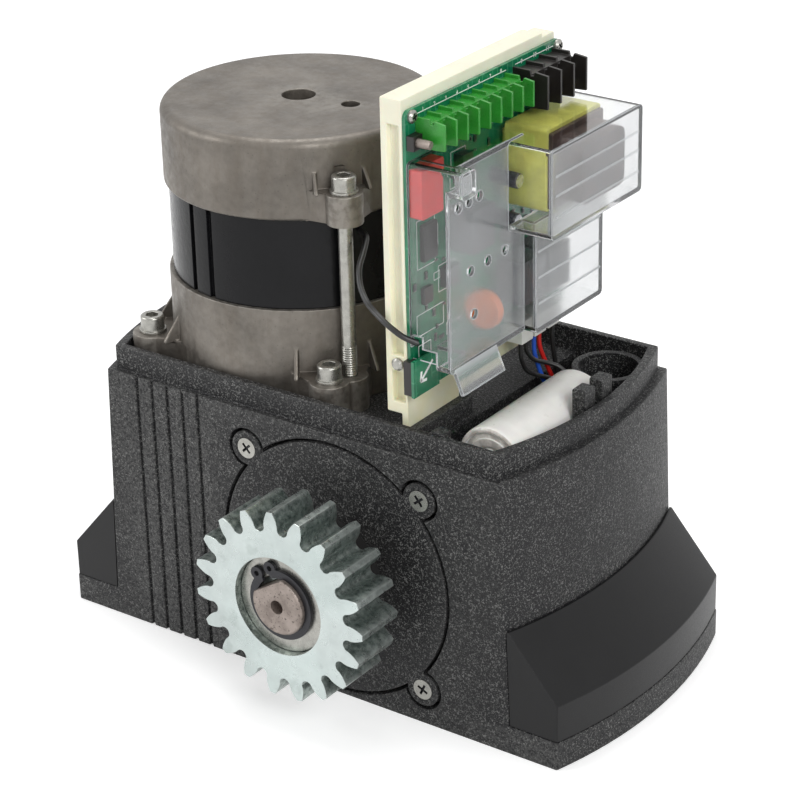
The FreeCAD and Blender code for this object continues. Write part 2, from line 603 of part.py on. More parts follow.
def gear_outline(teeth, module, play, root_factor=1.25, pressure=math.radians(20)):
    """The closed wire of a spur gear with involute flanks and rounded roots."""
    pitch = teeth * module / 2
    base = pitch * math.cos(pressure)
    tip = pitch + module
    root = pitch - root_factor * module
    half_tooth = math.pi / (2 * teeth) - play / (2 * pitch)
    half_base = half_tooth + math.tan(pressure) - pressure
    step = 2 * math.pi / teeth
    low = max(base, root + 0.3 * module)
    edges = []

    def polar(radius, angle):
        return Vector(radius * math.cos(angle), radius * math.sin(angle), 0)

    for index in range(teeth):
        middle = index * step
        radii = [low + (tip - low) * share / 4 for share in range(5)]
        rising = [involute(base, middle - half_base, radius, 1) for radius in radii]
        falling = [involute(base, middle + half_base, radius, -1) for radius in reversed(radii)]
        for flank in (rising, falling):
            curve = Part.BSplineCurve()
            curve.interpolate(flank)
            edges.append(curve.toShape())
            if flank is rising:
                edges.append(Part.Arc(rising[-1], polar(tip, middle), falling[0]).toShape())
        next_foot = involute(base, middle + step - half_base, low, 1)
        floor = polar(root, middle + step / 2)
        edges.append(Part.Arc(falling[-1], floor, next_foot).toShape())
    return Part.Wire(Part.__sortEdges__(edges))


def output_gear():
    """The rack pinion: its front counterbore holds the washer and ring, and its bore has the shaft's flat."""
    teeth = int(val("gear_teeth"))
    width = val("gear_width")
    blank = Part.Face(gear_outline(teeth, val("gear_module"), val("gear_play"))).extrude(Vector(0, 0, width))
    blank.rotate(Vector(0, 0, 0), Vector(0, 0, 1), val("gear_phase"))
    sink = Part.makeCylinder(val("counterbore_radius"), val("counterbore_depth"))
    sink.translate(Vector(0, 0, width - val("counterbore_depth")))
    bore = Part.makeCylinder(val("shaft_nose"), width)
    nose = val("shaft_nose")
    flat = Part.makeBox(nose, 2 * nose, width, Vector(val("shaft_flat"), -nose, 0))
    flat.rotate(Vector(0, 0, 0), Vector(0, 0, 1), val("flat_angle"))
    shape = blank.cut(sink).cut(bore.cut(flat))
    return place(shaped("output_gear", shape), "gear_x", "gear_back", "gear_height", AGAINST_Y)


def output_shaft():
    front = "(half_depth + gear_standoff + gear_width + nose_proud)"
    seat = "(half_depth - plate_thickness - bearing_width)"
    shoulder = "(half_depth + gear_standoff)"
    ring = "(half_depth + gear_standoff + gear_width - counterbore_depth + washer_thickness)"
    body = turned("output_shaft", [
        ("shaft_seat - 1", "-shaft_end_y"),
        ("shaft_seat", "-shaft_end_y + 1"),
        ("shaft_seat", "-hub_half_length"),
        ("wheel_seat", "-hub_half_length"),
        ("wheel_seat", "hub_half_length"),
        ("shaft_shoulder", "hub_half_length"),
        ("shaft_shoulder", seat),
        ("shaft_seat", seat),
        ("shaft_seat", shoulder),
        ("shaft_nose", shoulder),
        ("shaft_nose", ring),
        ("ring_groove", ring),
        ("ring_groove", f"{ring} + ring_thickness"),
        ("shaft_nose", f"{ring} + ring_thickness"),
        ("shaft_nose", f"{front} - 0.8"),
        ("shaft_nose - 0.8", front),
    ])
    flat = sketch(body, "shaft_flat_plan", "XY_Plane", front)
    flat.AttachmentOffset = Placement(Vector(0, 0, 0), Rotation(Vector(0, 0, 1), val("flat_angle")))
    bind(flat, "AttachmentOffset.Base.z", front)
    rectangle(flat, "shaft_flat", "-shaft_nose", "shaft_nose + 1", "shaft_nose")
    feature(body, "Pocket", "shaft_flat", flat, f"{front} - {shoulder}")
    key = sketch(body, "key_seat_plan", "YZ_Plane", "wheel_seat - key_height / 2")
    rectangle(key, "-key_width / 2", "-hub_half_length", "key_width / 2", "hub_half_length")
    feature(body, "Pocket", "key_seat", key, "key_height / 2 + 1", back=True)
    centre = sketch(body, "centre_drill_plan", "XY_Plane", front)
    circle(centre, "0", "0", "centre_radius")
    feature(body, "Pocket", "centre_drill", centre, "centre_depth")
    return place(body, "gear_x", "0", "gear_height", AGAINST_Y)


def gear_washer():
    body = turned("gear_washer",
                  [("counterbore_radius - 0.2", "0"), ("counterbore_radius - 0.2", "washer_thickness")],
                  "shaft_nose")
    return place(body, "gear_x", "ring_y + washer_thickness", "gear_height", AGAINST_Y)


def retaining_ring():
    """An external ring whose opening and two eared ends lie on the shaft's flat side."""
    body = turned("retaining_ring", [("ring_outer", "0"), ("ring_outer", "ring_thickness")], "ring_groove")
    turn = Placement(Vector(0, 0, 0), Rotation(Vector(0, 0, 1), val("flat_angle")))
    steps = (
        ("Pocket", "ring_gap", (("ring_groove - 3", "-ring_opening", "ring_outer + 1", "ring_opening"),), ()),
        ("Pad", "ring_ears", (),
         [("ring_outer", f"{side}ring_ear_offset", "ring_ear") for side in ("", "-")]),
        ("Pocket", "ring_eyes", (),
         [("ring_outer", f"{side}ring_ear_offset", "ring_eye") for side in ("", "-")]),
    )
    for kind, name, boxes, rounds in steps:
        level = "ring_thickness" if kind == "Pocket" else "0"
        item = sketch(body, name + "_plan", "XY_Plane", level)
        item.AttachmentOffset = turn
        bind(item, "AttachmentOffset.Base.z", level)
        for corners in boxes:
            rectangle(item, *corners)
        for spot in rounds:
            circle(item, *spot)
        feature(body, kind, name, item, "ring_thickness")
    return place(body, "gear_x", "ring_y", "gear_height", AGAINST_Y)


def worm_wheel():
    """A helical wheel on a long hub: the gap that faces the worm lies in line with the worm's thread."""
    teeth = int(val("wheel_teeth"))
    module = val("wheel_module")
    half = val("wheel_width") / 2
    lead = math.atan(module / (2 * val("worm_pitch_radius")))
    twist = math.degrees(half * math.tan(lead) / (teeth * module / 2))
    rim = gear_outline(teeth, module, val("mesh_play"))
    sections = []
    for side in (-1, 0, 1):
        wire = rim.copy()
        wire.rotate(Vector(0, 0, 0), Vector(0, 0, 1), 180 / teeth + side * twist)
        wire.translate(Vector(0, 0, side * half))
        sections.append(wire)
    shape = Part.makeLoft(sections, True, True)
    hub = val("hub_half_length")
    shape = shape.fuse(Part.makeCylinder(val("wheel_hub"), 2 * hub, Vector(0, 0, -hub)))
    shape = shape.cut(Part.makeCylinder(val("wheel_seat"), 2 * hub, Vector(0, 0, -hub)))
    deep = val("key_height") / 2
    key = Part.makeBox(val("wheel_seat") + deep, val("key_width"), 2 * hub,
                       Vector(0, -val("key_width") / 2, -hub))
    return place(shaped("worm_wheel", shape.cut(key)), "gear_x", "0", "gear_height", AGAINST_Y)


def wheel_key():
    return box("wheel_key", "gear_x + wheel_seat - key_height / 2", "-hub_half_length",
               "gear_height - key_width / 2",
               "gear_x + wheel_seat + key_height / 2", "hub_half_length", "gear_height + key_width / 2")


def wheel_spacer():
    body = turned("wheel_spacer", [("shaft_seat + 3.5", "hub_half_length"),
                                   ("shaft_seat + 3.5", "shaft_end_y - bearing_width")], "shaft_seat")
    return place(body, "gear_x", "0", "gear_height", ALONG_Y)


def ring_pair(label, inner, race, outer, width, x, y, z, turn):
    """A ball bearing as two rings: the outer one with its shields and the inner race, a gap apart."""
    rings = []
    for name, low, high in (("outer", f"{inner} + {race} + race_gap", outer),
                            ("inner", inner, f"{inner} + {race}")):
        body = turned(f"{label}_{name}", [(high, "0"), (high, width)], low)
        rings.append(place(body, x, y, z, turn))
    return rings


def bearings(label, places):
    """Like bearings share two nodes, one of outer rings and one of inner races."""
    pairs = [ring_pair(f"{label}_{index}", *spot) for index, spot in enumerate(places)]
    return [group(label + "_outers", [pair[0] for pair in pairs]),
            group(label + "_inners", [pair[1] for pair in pairs])]


def drive_bearings():
    seats = [("shaft_seat", "bearing_race", "bearing_radius", "bearing_width", "gear_x", y, "gear_height",
              ALONG_Y)
             for y in ("bearing_front_y", "bearing_rear_y")]
    return bearings("drive_bearing", seats)


# ---------------------------------------------------------------- worm and rotor
def worm_shaft():
    """The rotor shaft, whose lower end is cut as a single-start right-hand worm."""
    body = turned("worm_shaft", [
        ("worm_root + 0.3", "worm_foot + 0.3"),
        ("worm_root + 0.3", "worm_foot + worm_bearing_width + 4"),
        ("worm_root", "worm_foot + worm_bearing_width + 4"),
        ("worm_root", "worm_top"),
        ("rotor_shaft", "worm_top"),
        ("rotor_shaft", "rotor_shaft_top - 1"),
        ("rotor_shaft - 1", "rotor_shaft_top"),
    ])
    pitch = "(pi * wheel_module)"
    start = f"(gear_height - worm_turns / 2 * {pitch})"
    root = "(worm_root - 0.3)"
    tip = "(worm_pitch_radius + wheel_module)"

    def half_width(radius):
        return f"({pitch} / 4 - mesh_play / 4 - ({radius} - worm_pitch_radius) * tan(20))"

    wide = half_width(root)
    narrow = half_width(tip)
    thread = sketch(body, "worm_thread_profile", "XZ_Plane")
    outline(thread, [(root, f"{start} - {wide}"), (tip, f"{start} - {narrow}"), (tip, f"{start} + {narrow}"),
                     (root, f"{start} + {wide}")])
    helix = body.newObject("PartDesign::AdditiveHelix", "worm_thread")
    helix.Profile = thread
    helix.ReferenceAxis = (thread, ["V_Axis"])
    helix.Mode = 0
    bind(helix, "Pitch", pitch)
    bind(helix, "Height", f"worm_turns * {pitch}")
    return place(body, "motor_x")


def rotor_core():
    body = turned("rotor_core", [("rotor_radius", "bell_top - 1.8"), ("rotor_radius", "cap_bottom + 1.5")],
                  "rotor_shaft")
    return place(body, "motor_x")


def rotor_bearings():
    seats = [
        ("(worm_root + 0.3)", "bearing_race", "worm_bearing_radius", "worm_bearing_width", "motor_x", "0",
         "worm_foot", None),
        ("rotor_shaft", "bearing_race", "rotor_bearing_radius", "rotor_bearing_width", "motor_x", "0",
         "deck_top + bearing_rise", None),
        ("rotor_shaft", "bearing_race", "rotor_bearing_radius", "rotor_bearing_width", "motor_x", "0",
         "rotor_shaft_top - 1 - rotor_bearing_width", None),
    ]
    return bearings("rotor_bearing", seats)


# ---------------------------------------------------------------- motor
def polar(radius, degrees):
    return f"({radius}) * cos({degrees})", f"({radius}) * sin({degrees})"


def revolved(label, corners, rounds=None):
    """A turned piece about Z from its whole half section, given anticlockwise."""
    body = new_body(label)
    outline(sketch(body, label + "_section", "XZ_Plane"), corners, rounds)
    spin = body.newObject("PartDesign::Revolution", label + "_turn")
    spin.Profile = body.Group[0]
    spin.ReferenceAxis = (body.Group[0], ["V_Axis"])
    spin.Angle = 360
    return body


def lug_pads(body, name, spots, base_radius, radius, bottom, height, spread):
    """Round lugs about each (distance, angle), each with a web that flares back to the round wall."""
    for index, (distance, angle) in enumerate(spots):
        web = sketch(body, f"{name}_web_plan_{index}", "XY_Plane", bottom)
        reach = math.degrees(math.asin(val(radius) / val(distance))) * 0.93
        outline(web, [
            polar(f"{base_radius} - 2", f"({angle} - {spread})"),
            polar(distance, f"({angle} - {reach:.3f})"),
            polar(distance, f"({angle} + {reach:.3f})"),
            polar(f"{base_radius} - 2", f"({angle} + {spread})"),
        ])
        feature(body, "Pad", f"{name}_web_{index}", web, height)
        lug = sketch(body, f"{name}_plan_{index}", "XY_Plane", bottom)
        circle(lug, *polar(distance, angle), radius)
        feature(body, "Pad", f"{name}_{index}", lug, height)


def lug_ribs(body, name, base_radius, top, angles, reach, rise):
    """Thin three-cornered ribs that stand on the lugs against the round wall."""
    for index, angle in enumerate(angles):
        rib = sketch(body, f"{name}_profile_{index}", "XZ_Plane")
        rib.AttachmentOffset = Placement(Vector(0, 0, 0), Rotation(Vector(0, 1, 0), angle))
        bind(rib, "AttachmentOffset.Base.z", "0")
        outline(rib, [(f"{base_radius} - 2", f"{top} - 1"), (f"{base_radius} + {reach}", f"{top} - 1"),
                      (f"{base_radius} + {reach}", top), (f"{base_radius} - 2", f"{top} + {rise}")])
        pad = feature(body, "Pad", f"{name}_{index}", rib, "rib_thickness")
        pad.Midplane = True


def lug_holes(body, name, spots, radius, top, height):
    holes = sketch(body, name + "_plan", "XY_Plane", top)
    for distance, angle in spots:
        circle(holes, *polar(distance, angle), radius)
    feature(body, "Pocket", name, holes, height)


FLANGE_LUGS = [("(lug_offset * sqrt(2))", angle) for angle in (45, 135, 225, 315)]
TIE_LUGS = [("tie_radius", "tie_angle"), ("tie_radius", "(tie_angle + 180)")]


def motor_lower_bell():
    seat = "(deck_top + bearing_rise)"
    lug_top = "(deck_top + lug_height)"
    body = revolved("motor_lower_bell", [
        ("bell_bore", "deck_top - spigot_depth"),
        ("spigot_radius", "deck_top - spigot_depth"),
        ("spigot_radius", "deck_top"),
        ("bell_radius", "deck_top"),
        ("bell_radius", "bell_top"),
        ("stator_register", "bell_top"),
        ("stator_register", "deck_top + 6"),
        ("rotor_bearing_radius + bell_wall", "deck_top + 6"),
        ("rotor_bearing_radius + bell_wall", f"{seat} + rotor_bearing_width"),
        ("rotor_bearing_radius", f"{seat} + rotor_bearing_width"),
        ("rotor_bearing_radius", seat),
        ("bell_bore", seat),
    ])
    lug_pads(body, "flange_lug", FLANGE_LUGS, "bell_radius", "lug_radius", "deck_top", "lug_height", 17)
    lug_pads(body, "tie_lug", TIE_LUGS, "bell_radius", "tie_lug_radius", "deck_top", "lug_height", 13)
    lug_ribs(body, "bell_rib", "bell_radius", lug_top, (-57, -26, 33, 57, 123, 154, 213, 237),
             "bell_rib_reach",
             "bell_rib_rise")
    lug_holes(body, "flange_holes", FLANGE_LUGS, "bolt_radius + 0.3", lug_top, "lug_height + 1")
    lug_holes(body, "tie_holes", TIE_LUGS, "bolt_radius", lug_top, "lug_height - 4")
    lug_holes(body, "tie_grooves", TIE_LUGS, "bolt_radius + 0.3", "bell_top", f"bell_top - {lug_top}")
    return place(body, "motor_x")


def stator_core():
    """The wound stack in its sleeve, with a spigot at each end that the end castings slide over."""
    register = "(stator_register - spigot_fit)"
    body = revolved("stator_core", [
        ("stator_bore", "bell_top - register_depth"),
        (register, "bell_top - register_depth"),
        (register, "bell_top"),
        ("stator_radius", "bell_top"),
        ("stator_radius", "cap_bottom"),
        (register, "cap_bottom"),
        (register, "cap_bottom + register_depth"),
        ("stator_bore", "cap_bottom + register_depth"),
    ])
    slots = sketch(body, "sleeve_groove_plan", "XY_Plane", "cap_bottom")
    for angle in (-106.7, -95.4, 73.3, 84.6):
        outline(slots, [polar("stator_radius - groove_depth", f"({angle} - groove_spread)"),
                        polar("stator_radius + 1", f"({angle} - groove_spread)"),
                        polar("stator_radius + 1", f"({angle} + groove_spread)"),
                        polar("stator_radius - groove_depth", f"({angle} + groove_spread)")])
    feature(body, "Pocket", "sleeve_grooves", slots, "cap_bottom - bell_top")
    return place(body, "motor_x")


def stator_windings():
    ends = []
    for name, low, high in (("lower", "bell_top - register_depth - winding_height",
                             "bell_top - register_depth"),
                            ("upper", "cap_bottom + register_depth",
                             "cap_bottom + register_depth + winding_height")):
        body = turned(f"winding_{name}", [
            ("winding_radius - 3", low), ("winding_radius", f"{low} + 3"), ("winding_radius", f"{high} - 3"),
            ("winding_radius - 3", high)], "stator_bore + 2")
        ends.append(place(body, "motor_x"))
    return group("stator_windings", ends)


def motor_upper_cap():
    seat = "(rotor_shaft_top - 1)"
    roof = "(motor_top - cap_roof)"
    body = revolved("motor_upper_cap", [
        ("cap_hole", "motor_top"),
        ("cap_hole", "rotor_shaft_top + 2"),
        ("bell_bore", "rotor_shaft_top + 2"),
        ("bell_bore", seat),
        ("rotor_bearing_radius", seat),
        ("rotor_bearing_radius", f"{seat} - rotor_bearing_width - 1"),
        ("rotor_bearing_radius + bell_wall", f"{seat} - rotor_bearing_width - 1"),
        ("rotor_bearing_radius + bell_wall", roof),
        ("stator_register", roof),
        ("stator_register", "cap_bottom"),
        ("cap_radius - 1", "cap_bottom"),
        ("cap_radius", "cap_bottom + 1"),
        ("cap_radius", "motor_top - cap_edge"),
        ("cap_radius - cap_edge", "motor_top"),
    ], {12: "cap_edge"})
    lug_pads(body, "cap_lug", TIE_LUGS, "cap_radius", "tie_lug_radius", "cap_lug_bottom", "cap_lug_height",
             17)
    head_room = "(bolt_washer + bolt_head_height + 1.7)"
    lug_holes(body, "head_clearance", TIE_LUGS, "bolt_washer_radius + 0.3", f"cap_lug_top + {head_room}",
              head_room)
    lug_ribs(body, "cap_rib", "cap_radius", "cap_lug_top", (-47, -26.5, 133, 153.5), "cap_rib_reach",
             "cap_rib_rise")
    lug_holes(body, "cap_tie_holes", TIE_LUGS, "bolt_radius + 0.3", "cap_lug_top", "cap_lug_height + 1")
    tap = sketch(body, "cap_tap_plan", "XY_Plane", "motor_top")
    circle(tap, "cap_tap_x", "cap_tap_y", "cap_tap_hole")
    feature(body, "Pocket", "cap_tap", tap, "7")
    return place(body, "motor_x")


def socket_screw(label, length, x, y, z):
    """A hexagon socket screw on its washer, whose underside is at the given height."""
    top = "(bolt_washer + bolt_head_height)"
    body = turned(label, [
        ("bolt_radius - 0.5", f"-({length})"),
        ("bolt_radius", f"-({length}) + 0.5"),
        ("bolt_radius", "0"),
        ("bolt_washer_radius", "0"),
        ("bolt_washer_radius", "bolt_washer"),
        ("bolt_head_radius", "bolt_washer"),
        ("bolt_head_radius", f"{top} - 0.6"),
        ("bolt_head_radius - 0.6", top),
    ])
    hexagon(body, label + "_socket", top, "hex_socket", "bolt_head_height / 2")
    return place(body, x, y, z)


def hexagon(body, name, level, across, depth):
    item = sketch(body, name + "_plan", "XY_Plane", level)
    outline(item, [polar(f"{across} / sqrt(3)", f"{60 * corner}") for corner in range(6)])
    feature(body, "Pocket", name, item, depth)


def tie_bolts():
    bolts = []
    for index, (distance, angle) in enumerate(TIE_LUGS):
        x, y = polar(distance, angle)
        bolts.append(socket_screw(f"tie_bolt_{index}", "cap_lug_top - deck_top - 5", f"motor_x + {x}", y,
                                  "cap_lug_top"))
    return group("tie_bolts", bolts)


def flange_bolts():
    bolts = []
    for index, (distance, angle) in enumerate(FLANGE_LUGS):
        x, y = polar(distance, angle)
        bolts.append(socket_screw(f"flange_bolt_{index}", "lug_height + deck_thickness - 0.5",
                                  f"motor_x + {x}", y,
                                  "deck_top + lug_height"))
    return group("flange_bolts", bolts)


# ---------------------------------------------------------------- foot covers
def foot_plan(body, name, level, edge, back, radius):
    """A plan section of a foot cover: straight front, back and inner edge, and an arc outside."""
    item = sketch(body, name, "XY_Plane", level)
    inner = "(half_length - 6)"
    return outline(item, [(inner, f"-{back}"), (edge, f"-{back}"), (edge, back), (inner, back)], {1: radius})


def arc_radius(half_chord, bulge):
    return f"(({bulge})^2 + ({half_chord})^2) / (2 * ({bulge}))"


def foot_cover(label, turn):
    """A hollow wedge over the anchor bolts: its top falls straight from the end wall to an outer edge."""
    body = new_body(label)
    depth = "(half_depth - foot_gap)"
    flange = arc_radius("half_depth", "flange_bulge")
    wall = arc_radius("half_depth", "end_bulge")
    edge = "(flange_half_length - foot_gap)"
    ridge = "(half_length + end_draft * (1 - foot_inner_top / ledge_height) + foot_gap + foot_ridge)"
    low = foot_plan(body, label + "_low", "flange_height", edge, depth, flange)
    feature(body, "Pad", label + "_skirt", low, "foot_outer_top - flange_height")
    crease = foot_plan(body, label + "_crease", "foot_outer_top", edge, depth, flange)
    crest = foot_plan(body, label + "_crest", "foot_inner_top", ridge, depth, wall)
    slope = body.newObject("PartDesign::AdditiveLoft", label + "_slope")
    slope.Profile = crease
    slope.Sections = [crest]
    slope.Ruled = True
    inside = "(half_depth - foot_gap - foot_wall)"
    thin = "(flange_half_length - foot_gap - foot_wall)"
    drop = "(foot_wall * 1.4)"
    floor = foot_plan(body, label + "_hollow_low", "foot_outer_top - foot_wall * 0.4", thin, inside, flange)
    feature(body, "Pocket", label + "_hollow", floor, "foot_outer_top")
    high = foot_plan(body, label + "_hollow_high", f"foot_inner_top - {drop}", f"({ridge} - 0.2)", inside,
                     wall)
    hollow = body.newObject("PartDesign::SubtractiveLoft", label + "_hollow_slope")
    hollow.Profile = floor
    hollow.Sections = [high]
    hollow.Ruled = True
    sections = []
    for name, level, reach in (("foot", "0", "half_length + end_draft + foot_gap"),
                               ("head", "ledge_height", "half_length + foot_gap")):
        item = sketch(body, f"{label}_wall_{name}", "XY_Plane", level)
        side = "(half_depth + 6)"
        bow = f"({wall} - sqrt(({wall})^2 - {side}^2))"
        face = f"({reach} + end_bulge - {bow})"
        sections.append(outline(item, [("0", f"-{side}"), (face, f"-{side}"), (face, side), ("0", side)],
                                {1: wall}))
    fit = body.newObject("PartDesign::SubtractiveLoft", label + "_wall_fit")
    fit.Profile = sections[0]
    fit.Sections = [sections[1]]
    fit.Ruled = True
    return place(body, turn=turn)


# ---------------------------------------------------------------- controller
def controller_tray():
    """The moulded back of the controller: a skin, a thick top, a side channel and a tongue for its holder."""
    front = "tray_front_y"
    skin = "(tray_back + tray_skin)"
    body = new_body("controller_tray")
    block = sketch(body, "tray_profile", "YZ_Plane", "tray_back")
    rectangle(block, front, "tray_bottom", "tray_back_y", "tray_top")
    feature(body, "Pad", "tray_block", block, "tray_depth")
    step = sketch(body, "tray_step_profile", "YZ_Plane", "tray_back - 1")
    rectangle(step, "tray_back_y - tray_step_length", "tray_top - tray_step", "tray_back_y + 1",
              "tray_top + 1")
    feature(body, "Pocket", "tray_step_cut", step, "tray_depth + 2", back=True)
    tongue = sketch(body, "tray_tongue_profile", "YZ_Plane", "board_back - tray_skin")
    rectangle(tongue, front, "tray_tongue_bottom", "tray_front_y + tray_tongue_length", "tray_bottom + 1")
    feature(body, "Pad", "tray_tongue", tongue, "tray_skin")
    room = sketch(body, "tray_room_profile", "YZ_Plane", "board_back")
    rectangle(room, "tray_front_y + 9.5", "tray_bottom + 8", "tray_back_y - 12", "tray_top - 14.5")
    feature(body, "Pocket", "tray_room", room, "tray_depth - tray_skin")
    channel = sketch(body, "tray_channel_plan", "XZ_Plane", "-tray_front_y")
    rectangle(channel, skin, "tray_bottom + 25", "board_back - 1.2", "tray_top - 10.5")
    rectangle(channel, skin, "tray_bottom + 5", "board_back - 1.2", "tray_bottom + 18")
    feature(body, "Pocket", "tray_channel", channel, "tray_channel_depth")
    return body


def rounded(item, x0, y0, x1, y1, radius):
    corners = []
    quarters = ((x1, y0, -1, 0, 0, 1), (x1, y1, 0, -1, -1, 0), (x0, y1, 1, 0, 0, -1), (x0, y0, 0, 1, 1, 0))
    for x, y, ax, ay, bx, by in quarters:
        corners.append((f"{x} + {ax} * {radius}", f"{y} + {ay} * {radius}"))
        corners.append((f"{x} + {bx} * {radius}", f"{y} + {by} * {radius}"))
    return outline(item, corners, {index: radius for index in (0, 2, 4, 6)})


BOARD_SCREWS = [("board_front_y + 3.9", "board_top - 2.7"), ("board_back_y - 2.7", "board_top - 2.7"),
                ("board_back_y - 6", "board_bottom + 4"), ("board_front_y + 5", "board_bottom + 4")]


def circuit_board():
    body = new_body("circuit_board")
    plate = sketch(body, "board_outline", "YZ_Plane", "board_back")
    rounded(plate, "board_front_y", "board_bottom", "board_back_y", "board_top", "board_corner")
    feature(body, "Pad", "board_plate", plate, "board_thickness")
    return body


def pan_head(label):
    return turned(label, [("screw_head", "0"), ("screw_head", "screw_head_height * 0.55"),
                          ("screw_head * 0.66", "screw_head_height")])


def board_screws():
    """Pan heads on the face of the board; the tray is drilled by their threads as they go in."""
    heads = []
    for index, (y, z) in enumerate(BOARD_SCREWS):
        body = pan_head(f"board_screw_{index}")
        heads.append(place(body, "board_face", y, z, ALONG_X))
    side = pan_head("tray_screw")
    heads.append(place(side, "tray_back + 6", "tray_front_y", "tray_bottom + 21.5", AGAINST_Y))
    return group("board_screws", heads)


def terminal_block(label, start, pitch, count, low, high, height):
    """A barrier terminal strip: its underside slopes to the board, and notched fins part the poles."""
    body = new_body(label)
    neck = f"{high} - ({high} - {low}) * 0.45"
    shelf = f"board_face + {height} * 0.55"
    base = sketch(body, label + "_base_profile", "XZ_Plane", f"-({start})")
    top = f"{high} - fin_rise"
    outline(base, [("board_face", neck), (shelf, low), (shelf, top), ("board_face", top)])
    feature(body, "Pad", label + "_base", base, f"{pitch} * {count}", back=True)
    tip = f"board_face + {height}"
    for index in range(int(val(count)) + 1):
        front = f"{start} + {index} * {pitch} - fin / 2"
        wing = sketch(body, f"{label}_fin_profile_{index}", "XZ_Plane", f"-({front})")
        outline(wing, [("board_face", neck), (shelf, low), (tip, f"{low} + 0.4"), (tip, f"{high} - 1.2"),
                       (f"{shelf} + 1.6", f"{high} - 0.5"), (f"{shelf} + 0.9", f"{high} - 2.2"),
                       (f"{shelf} - 0.4", f"{high} - 2.2"), (f"{shelf} - 0.9", high), ("board_face", high)])
        feature(body, "Pad", f"{label}_fin_{index}", wing, "fin", back=True)
    hollows = sketch(body, label + "_hollow_outline", "YZ_Plane", shelf)
    for index in range(int(val(count))):
        circle(hollows, f"{start} + ({index} + 0.5) * {pitch}", f"({low} + {high}) / 2", "screw_hollow")
    feature(body, "Pocket", label + "_hollows", hollows, "hollow_depth")
    return body


STRIPS = [("signal_terminals", "pole_start", "pole_pitch", "pole_count", "pole_bottom", "pole_top",
           "pole_height"),
          ("mains_terminals", "mains_start", "mains_pitch", "mains_count", "mains_bottom", "mains_top",
           "mains_height")]


def terminal_screws():
    screws = []
    for label, start, pitch, count, low, high, height in STRIPS:
        for index in range(int(val(count))):
            body = turned(f"{label}_screw_{index}",
                          [("screw_hollow - 0.1", "0"), ("screw_hollow - 0.1", "2.2"),
                                                     ("screw_hollow - 0.7", "2.8")])
            place(body, f"board_face + {height} * 0.55 - hollow_depth",
                  f"{start} + ({index} + 0.5) * {pitch}",
                  f"({low} + {high}) / 2", ALONG_X)
            screws.append(body)
    return group("terminal_screws", screws)


def learn_button():
    """A tact switch at the edge of the board: its stem slides in the case towards the board."""
    y0 = "(board_front_y + 0.3)"
    y = f"({y0} + button_case / 2)"
    z = "(pole_bottom + button_case / 2 + 0.25)"
    case = box("learn_button_body", "board_face", y0, f"{z} - button_case / 2",
               "board_face + button_case_height",
               f"{y0} + button_case", f"{z} + button_case / 2")
    bore = rod("learn_button_bore", "button_stem + 0.08", "button_case_height",
               "board_face + 1", y, z, ALONG_X)
    stem = turned("learn_button", [("button_stem", "0"), ("button_stem", "button_stem_length - 0.3"),
                                   ("button_stem - 0.3", "button_stem_length")])
    place(stem, "board_face + 1 + button_travel + 0.1", y, z, ALONG_X)
    return [cut("learn_button_case", case, bore), stem]


def on_board(label, across, up, width, height, depth, lift="0"):
    """A block on the board's face, its lower front corner measured from that corner of the board."""
    y = f"board_front_y + {across}"
    z = f"board_bottom + {up}"
    base = f"board_face + {lift}"
    return box(label, base, y, z, f"{base} + {depth}", f"{y} + {width}", f"{z} + {height}")


def film_capacitor():
    body = new_body("film_capacitor")
    plan = sketch(body, "film_capacitor_outline", "YZ_Plane", "board_face")
    rounded(plan, "(board_front_y + cover_wall + 0.4)", "(cover_top - 23)", "(board_front_y + 16.5)",
            "(hood_top - cover_wall - 0.3)", "1")
    feature(body, "Pad", "film_capacitor_block", plan, "film_depth")
    return body


def transformer():
    """The mains transformer: a taped coil by the board, then the laminated core and the outer winding."""
    base = "(board_face + 3)"
    coil = new_body("transformer_coil")
    plan = sketch(coil, "coil_outline", "YZ_Plane", base)
    rounded(plan, "coil_front_y", "coil_bottom", "coil_back_y", "coil_top", "1.5")
    feature(coil, "Pad", "coil_block", plan, "coil_face - " + base)
    foot = sketch(coil, "coil_foot_outline", "YZ_Plane", "board_face")
    rectangle(foot, "coil_front_y + 3", "coil_bottom + 4", "coil_back_y - 3", "coil_top - 4")
    feature(coil, "Pad", "coil_foot", foot, "4")
    core = new_body("transformer_core")
    flange = sketch(core, "bobbin_outline", "YZ_Plane", "coil_face")
    rounded(flange, "(coil_front_y + 1)", "(coil_bottom + 1)", "(coil_back_y - 1)", "(coil_top - 1.5)", "1")
    feature(core, "Pad", "bobbin_flange", flange, "bobbin_flange")
    winding = sketch(core, "winding_outline", "YZ_Plane", "coil_face + bobbin_flange")
    rounded(winding, "(coil_front_y + 4)", "(coil_bottom + 4)", "(coil_back_y - 4)", "(coil_top - 4)", "4")
    feature(core, "Pad", "outer_winding", winding, "coil_winding")
    return [coil, core]


def filter_capacitors():
    cans = []
    for index, (across, up) in enumerate((("55.9", "76"), ("54.7", "59.5"))):
        body = turned(f"filter_capacitor_{index}", [
            ("can_radius", "0"), ("can_radius", "1.6"), ("can_radius - 0.5", "2.2"), ("can_radius", "2.8"),
            ("can_radius", "can_height - 0.5"), ("can_radius - 0.5", "can_height")])
        cans.append(place(body, "board_face", f"board_front_y + {across}", f"board_bottom + {up}", ALONG_X))
    return group("filter_capacitors", cans)


